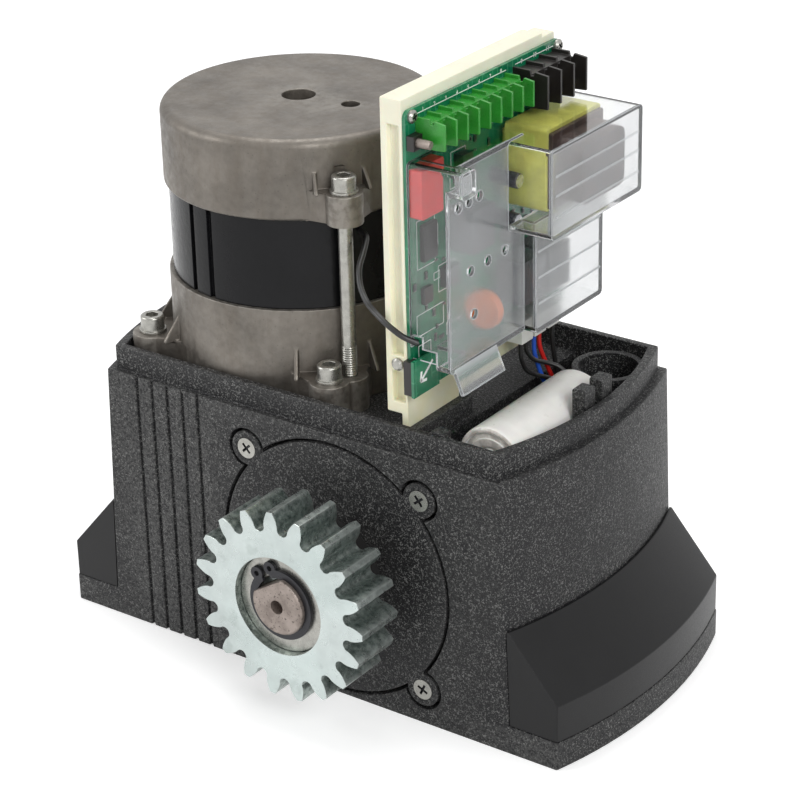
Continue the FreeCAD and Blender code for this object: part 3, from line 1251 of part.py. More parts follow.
def small_parts():
    relays = [on_board("relay_left", "57.5", "21", "15.5", "19", "15"),
              on_board("relay_right", "75.5", "21", "15.5", "19", "15"),
              on_board("relay_upper", "25.5", "54", "15.2", "18", "12")]
    chips = [on_board("chip_logic", "8.5", "55", "9", "15", "2.2"),
             on_board("chip_memory", "8.5", "37", "6", "7", "1.8"),
             on_board("chip_driver", "21.5", "40", "8", "8", "3"),
             on_board("chip_regulator", "31.5", "80", "7", "10", "4.5"),
             rod("trimmer_disc", "4", "6", "board_face", "board_front_y + 64.5", "board_bottom + 48",
                 ALONG_X)]
    disc_y = "board_front_y + 36.5"
    disc_z = "board_bottom + 26"
    varistor = rod("varistor", "varistor_radius", "varistor_thickness", "board_face + varistor_radius",
                   disc_y,
                   disc_z, ALONG_Y)
    middle = f"{disc_y} + varistor_thickness / 2"
    legs = box("varistor_legs", "board_face", f"{middle} - 0.5", f"{disc_z} - 4", "board_face + 4",
               f"{middle} + 0.5", f"{disc_z} + 4")
    receiver = on_board("receiver_board", "-header_overhang", "1.4", "14.5 + header_overhang", "15.6",
                        "1.4", "2")
    header = box("header_block", "board_back", "board_front_y - header_overhang", "board_bottom + 2",
                 "board_face + 2", "board_front_y", "board_bottom + 16.5")
    rail = on_board("header_rail", "0", "2", "2", "14.5", "2")
    return [group("relays", relays), group("board_chips", chips), fuse("varistor_disc", varistor, legs),
            receiver,
            fuse("header_strip", header, rail)]


def board_cover():
    """The clear moulded cover: a tall box, a deep hood over the transformer and a shelf box."""
    body = new_body("board_cover")
    front = "board_front_y"
    wall = "cover_wall"
    outer = (
        ("box", front, "cover_bottom", "cover_back_y", "cover_top", "cover_face"),
        ("hood", "hood_front_y", "hood_bottom", "hood_back_y", "hood_top", "hood_face"),
        ("shelf", "cover_back_y - 0.5", "cover_bottom - 0.5", "shelf_back_y", "hood_bottom + 1",
         "shelf_face"),
        ("bump", front, "bump_bottom", "bump_back_y", "cover_top", "bump_face"),
    )
    for name, y0, z0, y1, z1, face in outer:
        plan = sketch(body, f"cover_{name}_outline", "YZ_Plane", "board_face")
        rounded(plan, y0, z0, y1, z1, "cover_round")
        feature(body, "Pad", f"cover_{name}", plan, f"{face} - board_face")
    inner = (
        ("low", front, "cover_bottom", "shelf_back_y", "hood_bottom + 4", "cover_face"),
        ("high", front, "hood_bottom - 3", "hood_back_y", "hood_top", "cover_face"),
        ("hood", "hood_front_y", "hood_bottom", "hood_back_y", "hood_top", "hood_face"),
        ("shelf", "cover_back_y - 0.5", "cover_bottom - 0.5", "shelf_back_y", "hood_bottom + 1",
         "shelf_face"),
        ("bump", front, "bump_bottom", "bump_back_y", "cover_top", "bump_face"),
    )
    for name, y0, z0, y1, z1, face in inner:
        plan = sketch(body, f"cover_{name}_room_outline", "YZ_Plane", f"{face} - {wall}")
        rounded(plan, f"({y0} + {wall})", f"({z0} + {wall})", f"({y1} - {wall})", f"({z1} - {wall})", "1")
        feature(body, "Pocket", f"cover_{name}_room", plan, f"{face} - {wall} - board_face + 1")
    gap = sketch(body, "cover_side_gap_profile", "XZ_Plane", f"-({front}) + 1")
    rectangle(gap, "board_face - 1", "cover_bottom - 2", "cover_face - side_gap_step",
              "cover_bottom + side_gap_height")
    feature(body, "Pocket", "cover_side_gap", gap, f"{wall} + 1")
    under = sketch(body, "cover_floor_gap_profile", "XZ_Plane", f"-({front}) + 1")
    rectangle(under, "board_face - 1", "cover_bottom - 2", "cover_face - side_gap_step",
              "cover_bottom + cover_wall + 0.5")
    feature(body, "Pocket", "cover_floor_gap", under, "20")
    notch = sketch(body, "cover_lead_notch_profile", "XZ_Plane", f"-({front}) + 1")
    rectangle(notch, "board_face + 0.8", "cover_bottom + 7", "board_face + 5.6", "cover_bottom + 13")
    feature(body, "Pocket", "cover_lead_notch", notch, f"{wall} + 1")
    lip = sketch(body, "cover_lip_profile", "XZ_Plane", f"-({front}) - 3")
    outline(lip, [(f"cover_face - {wall}", "cover_bottom + 1.5"), ("cover_face + 2.6", "cover_bottom - 9"),
                  ("cover_face + 4.2", "cover_bottom - 8.6"), ("cover_face", "cover_bottom + 1.5")])
    feature(body, "Pad", "cover_lip", lip, "lip_width", back=True)
    vents = sketch(body, "cover_vent_outline", "YZ_Plane", "cover_face + 1")
    for across, up in ((7.4, 67), (14.5, 67.3), (21.6, 67.6), (15.1, 38.7), (27, 39), (39, 39.3), (17.1, 20)):
        circle(vents, f"board_front_y + {across}", f"cover_bottom + {up}", "vent_radius")
    feature(body, "Pocket", "cover_vents", vents, f"{wall} + 2")
    lines = sketch(body, "hood_line_outline", "YZ_Plane", "hood_face - 0.2")
    for drop in (11, 19, 28):
        rectangle(lines, "hood_front_y + 3", f"hood_top - {drop} - hood_line / 2", "hood_back_y - 3",
                  f"hood_top - {drop} + hood_line / 2")
    feature(body, "Pad", "hood_lines", lines, "hood_line")
    return body


# ---------------------------------------------------------------- run capacitor and release
def run_capacitor():
    """A plastic can lying along Y with moulded rings on its front end."""
    body = turned("run_capacitor", [
        ("capacitor_radius - 1", "0"), ("capacitor_radius", "1"),
        ("capacitor_radius", "capacitor_length - 1"),
        ("capacitor_radius - 1", "capacitor_length")])
    rings = sketch(body, "capacitor_ring_plan", "XY_Plane", "0")
    for radius in ("capacitor_radius - 2.4", "capacitor_radius - 4.8", "capacitor_radius - 8.2",
                   "capacitor_radius - 9.6"):
        circle(rings, "0", "0", radius)
    feature(body, "Pocket", "capacitor_rings", rings, "capacitor_ring_depth", back=True)
    return place(body, "capacitor_x", "capacitor_front", "capacitor_height", ALONG_Y)


def release_spindle():
    """The key-turned spindle of the manual release, in its bore in line with the output shaft."""
    step = "(half_depth - release_head_depth + 0.3)"
    body = turned("release_spindle", [
        ("release_radius", "shaft_end_y + 1.3"), ("release_radius", step), ("release_head", step),
        ("release_head", "half_depth")])
    hexagon(body, "release_socket", "half_depth", "release_key", "release_key_depth")
    return place(body, "gear_x", "0", "gear_height", ALONG_Y)


# ---------------------------------------------------------------- wiring
def tube(label, radius, spots):
    """A wire of round section: straight runs between the spots, each corner rounded as its runs allow."""
    points = [Vector(*spot) for spot in spots]
    edges = []
    start = points[0]
    radii = []
    for before, corner, after in zip(points, points[1:], points[2:]):
        back = (before - corner)
        ahead = (after - corner)
        shorter = min(back.Length, ahead.Length)
        back.normalize()
        ahead.normalize()
        turn = math.pi - back.getAngle(ahead)
        bend = 0.45 * shorter / math.tan(turn / 2)
        leave = bend * math.tan(turn / 2)
        entry = corner + back * leave
        exit_spot = corner + ahead * leave
        inward = (back + ahead).normalize()
        middle = corner + inward * (bend / math.cos(turn / 2) - bend)
        edges.append(Part.LineSegment(start, entry).toShape())
        edges.append(Part.Arc(entry, middle, exit_spot).toShape())
        start = exit_spot
        radii.append(round(bend, 1))
    edges.append(Part.LineSegment(start, points[-1]).toShape())
    path = Part.Wire(edges)
    size = val(radius)
    ring = Part.Wire(Part.makeCircle(size, points[0], points[1] - points[0]))
    shape = path.makePipeShell([ring], True, False)
    print(label, "length", round(path.Length, 1), "radii", radii,
          "volume share", round(shape.Volume / (math.pi * size ** 2 * path.Length), 4))
    return shaped(label, shape)


def wire_connectors():
    plugs = [on_board(f"plug_{index}", str(62.5 + 10 * index), "1.5", "8.4", "9", "11") for index in range(3)]
    return group("wire_connectors", plugs)


def leads():
    """Two leads to the capacitor's rear end, three to the well's floor and the motor's over the deck."""
    rear = val("capacitor_front + capacitor_length")
    floor = val("well_floor")
    plug = val("board_bottom + 1.5")
    black = [
        tube("black_lead_0", "wire_radius", [(62, 9, plug), (62, 9, 137), (62.6, 12, 130), (63.5, 18, 126),
                                             (66, 24, 123), (70, 26.8, 121), (73.5, 26.2, 119), (74, 24, 118),
                                             (74, rear, 118)]),
        tube("black_lead_1", "wire_radius",
             [(62, 13, plug), (62, 13, 138.5), (63, 17, 133), (65.5, 22.5, 130.5),
                                             (69.5, 26, 128.5), (73, 26.4, 126), (73.5, 24, 125),
                                             (73.5, rear, 125)]),
        tube("black_lead_2", "wire_radius",
             [(62, 33, plug), (62, 33, 135), (62.8, 34.5, 124), (63.5, 37, 113),
                                             (63.5, 38, 105), (63.5, 38, floor)]),
    ]
    return [
        group("black_leads", black),
        tube("blue_lead", "wire_radius",
             [(62, 19, plug), (62, 19, 136), (63, 22, 126), (65, 26, 115), (65.5, 28.5, 106),
                                          (65.5, 28.5, floor)]),
        tube("red_lead", "wire_radius", [(62, 23, plug), (62, 23, 137), (63.5, 26, 128), (65.5, 30, 118),
                                         (66, 33, 108), (66, 33, floor)]),
        tube("motor_lead", "lead_radius", [(8.3, -26.4, 193.5), (14.5, -29.7, 193.5), (18, -37, 190),
                                           (20.5, -44, 186), (24, -48.5, 181), (30, -52.5, 176.5),
                                           (38, -57, 175),
                                           (45, -59, 172.5), (52, -58.8, 169), (56.6, -55.5, 166.4)]),
    ]


# ---------------------------------------------------------------- the whole motor
def assemble():
    nodes = [housing(), gearbox_cover(), cover_screws(), shaft_seal(), output_shaft(), output_gear(),
             gear_washer(),
             retaining_ring(), worm_wheel(), wheel_key(), wheel_spacer(), worm_shaft(), rotor_core(),
             motor_lower_bell(), stator_core(), stator_windings(), motor_upper_cap(), tie_bolts(),
             flange_bolts(),
             foot_cover("foot_cover_right", Rotation()), foot_cover("foot_cover_left", HALF_TURN),
             controller_tray(), circuit_board(), board_screws(), terminal_screws(), film_capacitor(),
             filter_capacitors(), board_cover(), run_capacitor(), release_spindle(), wire_connectors()]
    nodes += [terminal_block(*strip) for strip in STRIPS]
    nodes += drive_bearings() + rotor_bearings() + learn_button() + transformer() + small_parts() + leads()
    return nodes


def check(nodes):
    DOC.recompute()
    failed = [item.Name for item in DOC.Objects if "Invalid" in item.State or "Error" in item.State]
    if failed:
        raise RuntimeError(f"objects that failed: {failed}")
    for item in nodes:
        if item.Shape.isNull() or not item.Shape.isValid() or not item.Shape.Solids:
            raise RuntimeError(f"{item.Label} has no sound solid")


def export(nodes):
    os.makedirs("parts", exist_ok=True)
    for item in nodes:
        item.Shape.exportStep(f"parts/{item.Label}.step")


write_sheet()
NODES = assemble()
check(NODES)
export(NODES)
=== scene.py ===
"""Dresses the sliding gate motor: edges, threads, print, small parts, finishes, light and camera."""
import json
import math
import random

import bpy
from bpy.props import FloatProperty, FloatVectorProperty, IntProperty, PointerProperty
from mathutils import Matrix, Vector


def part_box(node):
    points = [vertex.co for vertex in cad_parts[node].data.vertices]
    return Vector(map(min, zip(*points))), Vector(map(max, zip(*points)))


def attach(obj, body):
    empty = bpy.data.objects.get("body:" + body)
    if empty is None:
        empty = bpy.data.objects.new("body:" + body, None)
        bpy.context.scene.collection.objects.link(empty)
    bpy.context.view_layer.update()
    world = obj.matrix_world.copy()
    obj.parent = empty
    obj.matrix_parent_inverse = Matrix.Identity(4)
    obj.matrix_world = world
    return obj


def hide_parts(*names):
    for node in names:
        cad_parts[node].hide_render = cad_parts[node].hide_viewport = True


bl_info = {
    "name": "Sliding Gate Motor",
    "version": (1, 0, 0),
    "blender": (4, 5, 0),
    "location": "View3D > Sidebar > Gate Motor",
    "description": "Dresses the sliding gate motor's construction with its finishes and fine parts",
    "category": "Object",
}

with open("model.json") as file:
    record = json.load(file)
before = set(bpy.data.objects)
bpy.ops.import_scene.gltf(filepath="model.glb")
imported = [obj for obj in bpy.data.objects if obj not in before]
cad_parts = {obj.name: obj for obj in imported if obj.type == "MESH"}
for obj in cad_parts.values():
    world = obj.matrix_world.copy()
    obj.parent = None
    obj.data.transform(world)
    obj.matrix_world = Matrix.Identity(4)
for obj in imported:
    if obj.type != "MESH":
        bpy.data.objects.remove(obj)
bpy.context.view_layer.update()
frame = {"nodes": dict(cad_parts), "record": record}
MM = 0.001
WELD = 0.002 * MM
FLAT = math.radians(0.4)
BEND = 32.0
PART_EDGE = 0.12 * MM
BODY_OF = {node: body for body, nodes in frame["record"]["behaviour"]["bodies"].items() for node in nodes}
SLOT_OF = {part["node"]: part["material_slot"] for part in frame["record"]["subparts"]}


# ---------------------------------------------------------------- settings
def length(name, description, default):
    return FloatProperty(name=name, description=description, default=default, unit="LENGTH", precision=5)


def colour(name, description, default):
    return FloatVectorProperty(name=name, description=description, default=default, subtype="COLOR", size=3,
                               min=0.0, max=1.0)


class GateMotorSizes(bpy.types.PropertyGroup):
    """Sizes of the fine parts"""
    cast_edge: length("Cast edge", "Rounding of the painted casting's edges", 0.0006)
    plastic_edge: length("Moulded edge", "Rounding of moulded edges", 0.0004)
    metal_edge: length("Turned edge", "Broken edge of turned and cut metal", 0.00025)
    thread_pitch: length("Thread pitch", "Pitch of the tie bolts' thread", 0.001)
    thread_length: length("Thread length", "Threaded length that shows above the lower lug", 0.0135)
    thread_depth: length("Thread depth", "Depth of the thread", 0.00045)
    print_height: length("Print height", "Height of the numbers printed on the board", 0.0026)
    print_lift: length("Print lift", "Thickness of the printed ink", 0.00006)
    cross_width: length("Cross width", "Width of a cross recess's arms", 0.0011)
    chip_count: IntProperty(name="Chip count", description="Small resistors and capacitors on the board",
                            default=46, min=0, max=200)


class GateMotorColours(bpy.types.PropertyGroup):
    """Colours of the main finishes"""
    coat: colour("Powder coat", "Dark ground of the textured powder coat", (0.009, 0.009, 0.01))
    # the fleck colour also paints the highlight along the powder coat's outer edges
    fleck: colour("Powder coat fleck", "Silver fleck of the textured powder coat", (0.27, 0.27, 0.262))
    alloy: colour("Raw casting", "Bare cast alloy of the motor's ends", (0.162, 0.147, 0.129))
    zinc: colour("Zinc plate", "Bright zinc of the pinion", (0.517, 0.571, 0.558))
    ivory: colour("Ivory plastic", "Plastic of the controller's tray", (0.84, 0.82, 0.66))
    mask: colour("Board lacquer", "Green lacquer of the circuit board", (0.004, 0.17, 0.075))
    clear: colour("Clear cover", "Tint of the clear cover", (0.925, 0.93, 0.935))


class GateMotorStage(bpy.types.PropertyGroup):
    """Camera"""
    camera_place: FloatVectorProperty(name="Camera place", description="Where the camera stands", size=3,
                                      default=(0.60164, -0.81514, 0.58528), subtype="TRANSLATION",
                                      unit="LENGTH")
    camera_yaw: FloatProperty(name="Camera yaw", description="Turn of the view about the vertical",
                              default=0.625, unit="ROTATION")
    camera_pitch: FloatProperty(name="Camera pitch", description="Tilt of the view below the level",
                                default=-0.4345, unit="ROTATION")
    camera_roll: FloatProperty(name="Camera roll", description="Lean of the view", default=-0.0231,
                               unit="ROTATION")
    lens: FloatProperty(name="Lens", description="Focal length in millimetres on a 36 mm sensor",
                        default=118.9)
    shift_x: FloatProperty(name="Shift across", description="Sideways shift of the view", default=-0.0151)
    shift_y: FloatProperty(name="Shift up", description="Upward shift of the view", default=-0.027)


def sizes():
    return bpy.context.scene.gate_motor_sizes


def colours():
    return bpy.context.scene.gate_motor_colours


# ---------------------------------------------------------------- finishes
class Finish:
    """A node material on object coordinates, built up from patterns."""

    def __init__(self, name, ground, rough, metal=0.0, **sockets):
        self.material = bpy.data.materials.new(name)
        self.material.use_nodes = True
        self.tree = self.material.node_tree
        self.shader = self.tree.nodes["Principled BSDF"]
        self.shader.inputs["Base Color"].default_value = (*ground, 1)
        self.shader.inputs["Roughness"].default_value = rough
        self.shader.inputs["Metallic"].default_value = metal
        for socket, value in sockets.items():
            self.shader.inputs[socket.replace("_", " ")].default_value = value
        self.place = self.tree.nodes.new("ShaderNodeTexCoord").outputs["Object"]
        self.height = None

    def node(self, kind, **settings):
        item = self.tree.nodes.new("ShaderNode" + kind)
        for name, value in settings.items():
            setattr(item, name, value)
        return item

    def feed(self, socket, source):
        if isinstance(source, bpy.types.NodeSocket):
            self.tree.links.new(source, socket)
        else:
            socket.default_value = source

    def noise(self, scale, detail=3.0, rough=0.6, stretch=None):
        item = self.node("TexNoise")
        place = self.place
        if stretch:
            mapping = self.node("Mapping")
            self.feed(mapping.inputs["Vector"], place)
            mapping.inputs["Scale"].default_value = stretch
            place = mapping.outputs["Vector"]
        self.feed(item.inputs["Vector"], place)
        item.inputs["Scale"].default_value = scale
        item.inputs["Detail"].default_value = detail
        item.inputs["Roughness"].default_value = rough
        return item.outputs["Fac"]

    def cells(self, scale, feature="DISTANCE_TO_EDGE"):
        item = self.node("TexVoronoi", feature=feature)
        self.feed(item.inputs["Vector"], self.place)
        item.inputs["Scale"].default_value = scale
        return item.outputs["Distance"]

    def span(self, source, low, high, start=0.0, end=1.0):
        """Maps low..high of a pattern to start..end, clamped."""
        item = self.node("MapRange")
        self.feed(item.inputs["Value"], source)
        for name, value in (("From Min", low), ("From Max", high), ("To Min", start), ("To Max", end)):
            item.inputs[name].default_value = value
        return item.outputs["Result"]

    def sum(self, operation, first, second):
        item = self.node("Math", operation=operation)
        self.feed(item.inputs[0], first)
        self.feed(item.inputs[1], second)
        return item.outputs["Value"]

    def blend(self, factor, first, second):
        item = self.node("Mix", data_type="RGBA")
        self.feed(item.inputs["Factor"], factor)
        sockets = [socket for socket in item.inputs if socket.type == "RGBA"]
        for socket, source in zip(sockets, (first, second)):
            self.feed(socket, source if isinstance(source, bpy.types.NodeSocket) else (*source, 1))
        return next(socket for socket in item.outputs if socket.type == "RGBA")

    def axis(self, name, source="Object"):
        """One part of the place, or with source Normal of the way a surface faces."""
        item = self.node("SeparateXYZ")
        place = self.place if source == "Object" else self.place.node.outputs[source]
        self.feed(item.inputs["Vector"], place)
        return item.outputs[name]

    def facing(self, name, low=0.8, high=0.95):
        """1 where a surface faces along an axis either way, 0 elsewhere."""
        return self.span(self.sum("ABSOLUTE", self.axis(name, "Normal"), 0.0), low, high)

    def rim(self, width, most):
        """Up to most along sharp edges, over a band of the given width, and 0 on flat ground."""
        edge = self.node("Bevel", samples=4)
        edge.inputs["Radius"].default_value = width
        turn = self.node("VectorMath", operation="DOT_PRODUCT")
        self.feed(turn.inputs[0], edge.outputs["Normal"])
        self.feed(turn.inputs[1], self.node("NewGeometry").outputs["True Normal"])
        return self.span(self.sum("ABSOLUTE", turn.outputs["Value"], 0.0), 0.985, 0.93, 0.0, most)

    def crests(self, low, high, most):
        """Up to most along outer edges, 0 elsewhere."""
        return self.span(self.node("NewGeometry").outputs["Pointiness"], low, high, 0.0, most)

    def paint(self, source):
        self.feed(self.shader.inputs["Base Color"], source)

    def gloss(self, source):
        self.feed(self.shader.inputs["Roughness"], source)

    def relief(self, source, distance, strength=1.0):
        item = self.node("Bump")
        item.inputs["Strength"].default_value = strength
        item.inputs["Distance"].default_value = distance
        self.feed(item.inputs["Height"], source)
        if self.height is not None:
            self.feed(item.inputs["Normal"], self.height)
        self.height = item.outputs["Normal"]
        self.feed(self.shader.inputs["Normal"], self.height)


def shade(tone, factor):
    return tuple(min(1.0, part * factor) for part in tone)


def plain(name, ground, rough, metal=0.0, patch=60.0, spread=0.12, grain=2500.0, depth=0.00003, **sockets):
    """An even finish with faint patches, a fine grain and uneven gloss."""
    made = Finish(name, ground, rough, metal, **sockets)
    patches = made.noise(patch, 4.0)
    made.paint(made.blend(made.span(patches, 0.35, 0.65),
                          shade(ground, 1 - spread), shade(ground, 1 + spread)))
    fine = made.noise(grain, 2.0)
    made.gloss(made.span(fine, 0.3, 0.7, max(rough - 0.06, 0.03), rough + 0.07))
    made.relief(fine, depth)
    return made.material


def powder_coat():
    """Black wrinkle coat: short silver flecks on dark ground, over a pebbled surface, with a painted
    highlight along its outer edges.
    """
    made = Finish("powder_coat", colours().coat, 0.5, 0.0, Specular_IOR_Level=0.22)
    ridges = made.span(made.cells(1050.0), 0.0, 0.15, 1.0, 0.0)
    breaks = made.span(made.noise(1150.0, 2.0, 0.6), 0.5, 0.6)
    flecks = made.sum("MULTIPLY", ridges, breaks)
    dust = made.span(made.noise(2300.0, 2.0, 0.6), 0.56, 0.72, 0.0, 0.4)
    light = made.sum("MAXIMUM", flecks, dust)
    wide = made.span(made.noise(60.0, 3.0), 0.3, 0.7, 0.55, 1.0)
    # Painted highlight: outer edges, found by Pointiness and broken up by noise, take the silver fleck
    # colour.
    fleck_edge_highlight = made.crests(0.53, 0.62, 0.5)
    fleck_edge_highlight = made.sum("MULTIPLY", fleck_edge_highlight, made.span(made.noise(900.0, 2.0, 0.7), 0.4, 0.6))
    factor = made.sum("MAXIMUM", made.sum("MULTIPLY", light, wide), fleck_edge_highlight)
    made.paint(made.blend(factor, colours().coat, colours().fleck))
    made.gloss(made.span(made.noise(700.0, 3.0), 0.3, 0.7, 0.36, 0.62))
    made.relief(made.noise(620.0, 3.0, 0.55), 0.0003, 0.9)
    made.relief(flecks, 0.00012, 0.7)
    return made.material


def raw_casting():
    """Bare die casting: warm grey with brown patches, dark pits and painted highlights along its outer
    edges.
    """
    tone = colours().alloy
    made = Finish("raw_casting", tone, 0.46, 0.75)
    patches = made.span(made.noise(38.0, 5.0, 0.65), 0.32, 0.68)
    ground = made.blend(patches, shade(tone, 0.72), shade(tone, 1.25))
    streaks = made.span(made.noise(120.0, 4.0, 0.7, (1, 1, 0.22)), 0.45, 0.7, 0.0, 0.4)
    ground = made.blend(streaks, ground, (0.11, 0.09, 0.07))
    pits = made.span(made.cells(420.0, "F1"), 0.0, 0.16, 0.55, 0.0)
    ground = made.blend(pits, ground, (0.05, 0.045, 0.04))
    # Painted highlight: outer edges, found by Pointiness and broken up by noise, are painted pale grey.
    casting_edge_highlight = made.crests(0.53, 0.6, 0.9)
    casting_edge_highlight = made.sum("MULTIPLY", casting_edge_highlight, made.span(made.noise(260.0, 3.0), 0.36, 0.55))
    made.paint(made.blend(casting_edge_highlight, ground, (0.5, 0.48, 0.44)))
    made.gloss(made.span(made.noise(300.0, 4.0), 0.3, 0.7, 0.36, 0.6))
    made.relief(made.noise(900.0, 4.0, 0.7), 0.00012, 0.7)
    made.relief(made.noise(90.0, 2.0), 0.0005, 0.35)
    return made.material


def zinc_plate():
    """Bright zinc: pale, faintly blue and clouded, with fine cut marks; painted light on the face, painted
    shade on the flanks, painted highlights on the tooth edges.
    """
    tone = colours().zinc
    made = Finish("zinc_plate", tone, 0.33, 0.82)
    clouds = made.span(made.noise(55.0, 4.0, 0.6), 0.35, 0.66)
    ground = made.blend(clouds, shade(tone, 0.84), shade(tone, 1.04))
    tint = made.span(made.noise(24.0, 2.0), 0.45, 0.7, 0.0, 0.35)
    ground = made.blend(tint, ground, (0.48, 0.57, 0.55))
    spots = made.span(made.noise(240.0, 2.0, 0.4), 0.66, 0.76, 0.0, 0.3)
    ground = made.blend(spots, ground, (0.33, 0.37, 0.36))
    # Painted shade: the tooth flanks get a darker, streaked copy of the zinc.
    scale = made.span(made.noise(420.0, 4.0, 0.7), 0.35, 0.7)
    shaded_flank = made.blend(scale, (0.10, 0.13, 0.12), (0.44, 0.50, 0.47))
    # Painted highlight along the tooth edges, found by Pointiness.
    tooth_edge_highlight = made.crests(0.52, 0.58, 0.85)
    shaded_flank = made.blend(tooth_edge_highlight, shaded_flank, (0.74, 0.78, 0.76))
    smudge = made.span(made.noise(85.0, 3.0, 0.5), 0.6, 0.68, 0.0, 0.35)
    ground = made.blend(smudge, ground, (0.31, 0.36, 0.34))
    # Faces along Y take the paler face colour and the rest the darker flank colour: painted light and shade.
    made.paint(made.blend(made.facing("Y"), shaded_flank, ground))
    made.gloss(made.span(made.noise(200.0, 4.0), 0.3, 0.7, 0.22, 0.4))
    made.relief(made.noise(1600.0, 3.0), 0.00004, 0.8)
    return made.material


def turned_steel():
    """Shaft steel: brown-grey, dull, with specks of old oil."""
    made = Finish("turned_steel", (0.36, 0.3, 0.26), 0.48, 0.6)
    patches = made.span(made.noise(160.0, 4.0), 0.35, 0.65)
    ground = made.blend(patches, (0.20, 0.165, 0.145), (0.33, 0.28, 0.25))
    specks = made.span(made.noise(900.0, 2.0, 0.5), 0.60, 0.68, 0.0, 0.8)
    made.paint(made.blend(specks, ground, (0.07, 0.055, 0.045)))
    made.relief(made.noise(1400.0, 3.0), 0.00006, 0.8)
    return made.material


def board_lacquer():
    """Green lacquer over copper tracks, which show as paler raised lines."""
    tone = colours().mask
    made = Finish("board_lacquer", tone, 0.22, 0.0, Coat_Weight=0.4)
    tracks = made.node("TexBrick")
    mapping = made.node("Mapping")
    made.feed(mapping.inputs["Vector"], made.place)
    mapping.inputs["Rotation"].default_value = (0.0, math.radians(90), 0.0)
    made.feed(tracks.inputs["Vector"], mapping.outputs["Vector"])
    for name, value in (("Scale", 90.0), ("Mortar Size", 0.035), ("Brick Width", 0.9), ("Row Height", 0.32)):
        tracks.inputs[name].default_value = value
    shown = made.sum("MULTIPLY", tracks.outputs["Fac"], made.span(made.noise(90.0, 2.0), 0.45, 0.55))
    patches = made.span(made.noise(70.0, 3.0), 0.35, 0.65)
    ground = made.blend(patches, shade(tone, 0.75), shade(tone, 1.2))
    made.paint(made.blend(made.span(shown, 0.0, 1.0, 0.0, 0.5), ground, (0.06, 0.33, 0.17)))
    made.relief(shown, 0.00005)
    return made.material


def clear_plastic():
    """Clear moulding, frosted where it faces out and tinted a little darker there as painted shade, clear on
    its sides, with painted highlights of milky white along its sharp edges.
    """
    made = Finish("clear_plastic", colours().clear, 0.06, 0.0, Transmission_Weight=1.0, IOR=1.46)
    front = made.facing("X", 0.75, 0.95)
    haze = made.sum("MULTIPLY", front, made.span(made.noise(45.0, 3.0), 0.25, 0.75, 0.06, 0.16))
    dust = made.span(made.noise(900.0, 4.0, 0.7), 0.42, 0.75, 0.02, 0.12)
    made.gloss(made.sum("ADD", haze, dust))
    # Painted shade: the outward faces are tinted a little darker than the sides.
    made.paint(made.blend(front, colours().clear, shade(colours().clear, 0.97)))
    # Milky white diffuse, for the frosted front and for the painted highlight along sharp edges.
    frost_and_highlight_diffuse = made.node("BsdfDiffuse")
    frost_and_highlight_diffuse.inputs["Color"].default_value = (0.70, 0.72, 0.74, 1)
    cloud = made.span(made.noise(30.0, 3.0, 0.6), 0.3, 0.7, 0.08, 0.2)
    # Painted highlight: the rim along sharp edges adds up to 0.75 of the milky white.
    frost_and_edge_highlight = made.sum("MAXIMUM", made.sum("MULTIPLY", front, cloud), made.rim(0.0007, 0.75))
    mixed = made.node("MixShader")
    made.feed(mixed.inputs[0], frost_and_edge_highlight)
    made.feed(mixed.inputs[1], made.shader.outputs["BSDF"])
    made.feed(mixed.inputs[2], frost_and_highlight_diffuse.outputs["BSDF"])
    made.feed(made.tree.nodes["Material Output"].inputs["Surface"], mixed.outputs["Shader"])
    made.relief(made.noise(40.0, 2.0), 0.0002, 0.1)
    return made.material


def capacitor_can():
    """Dark sleeve with a bare silver top."""
    made = Finish("capacitor_can", (0.018, 0.018, 0.024), 0.3)
    top = made.facing("X", 0.9, 0.97)
    made.paint(made.blend(top, (0.018, 0.018, 0.026), (0.72, 0.73, 0.74)))
    made.feed(made.shader.inputs["Metallic"], made.span(top, 0.0, 1.0, 0.0, 0.9))
    made.gloss(made.span(made.noise(700.0, 3.0), 0.3, 0.7, 0.22, 0.4))
    made.relief(made.noise(900.0, 2.0), 0.00005)
    return made.material


def shrink_sleeve():
    """White shrunk film: soft creases along it and a painted grey shade in its end rings."""
    tone = (0.95, 0.935, 0.89)
    made = Finish("shrink_sleeve", tone, 0.34, 0.0, Subsurface_Weight=0.1, Subsurface_Scale=0.002)
    # Painted shade: the ends, facing along Y, are painted grey with rings.
    end = made.facing("Y", 0.55, 0.9)
    rings = made.span(made.noise(260.0, 2.0), 0.4, 0.6)
    ground = made.blend(made.span(made.noise(60.0, 4.0), 0.35, 0.65), shade(tone, 0.93), shade(tone, 1.04))
    darkening = made.blend(rings, (0.50, 0.47, 0.43), (0.74, 0.71, 0.66))
    made.paint(made.blend(end, ground, darkening))
    made.gloss(made.span(made.noise(300.0, 3.0), 0.3, 0.7, 0.25, 0.45))
    made.relief(made.noise(70.0, 3.0, 0.6, (2.0, 0.35, 2.0)), 0.0006, 0.5)
    return made.material


def ivory_plastic():
    """Ivory moulding, yellower and darker low down."""
    tone = colours().ivory
    made = Finish("ivory_plastic", tone, 0.4, 0.0, Subsurface_Weight=0.12, Subsurface_Scale=0.002)
    # Yellower and darker below about 0.13 to 0.2 in height, broken up by noise.
    low = made.span(made.axis("Z"), 0.13, 0.2, 0.55, 0.0)
    darkening = made.sum("MULTIPLY", low, made.span(made.noise(60.0, 3.0), 0.3, 0.6))
    patches = made.span(made.noise(45.0, 3.0), 0.35, 0.65)
    ground = made.blend(patches, shade(tone, 0.95), shade(tone, 1.04))
    made.paint(made.blend(darkening, ground, (0.72, 0.68, 0.38)))
    made.gloss(made.span(made.noise(800.0, 3.0), 0.3, 0.7, 0.34, 0.5))
    made.relief(made.noise(1200.0, 2.0), 0.00003)
    return made.material


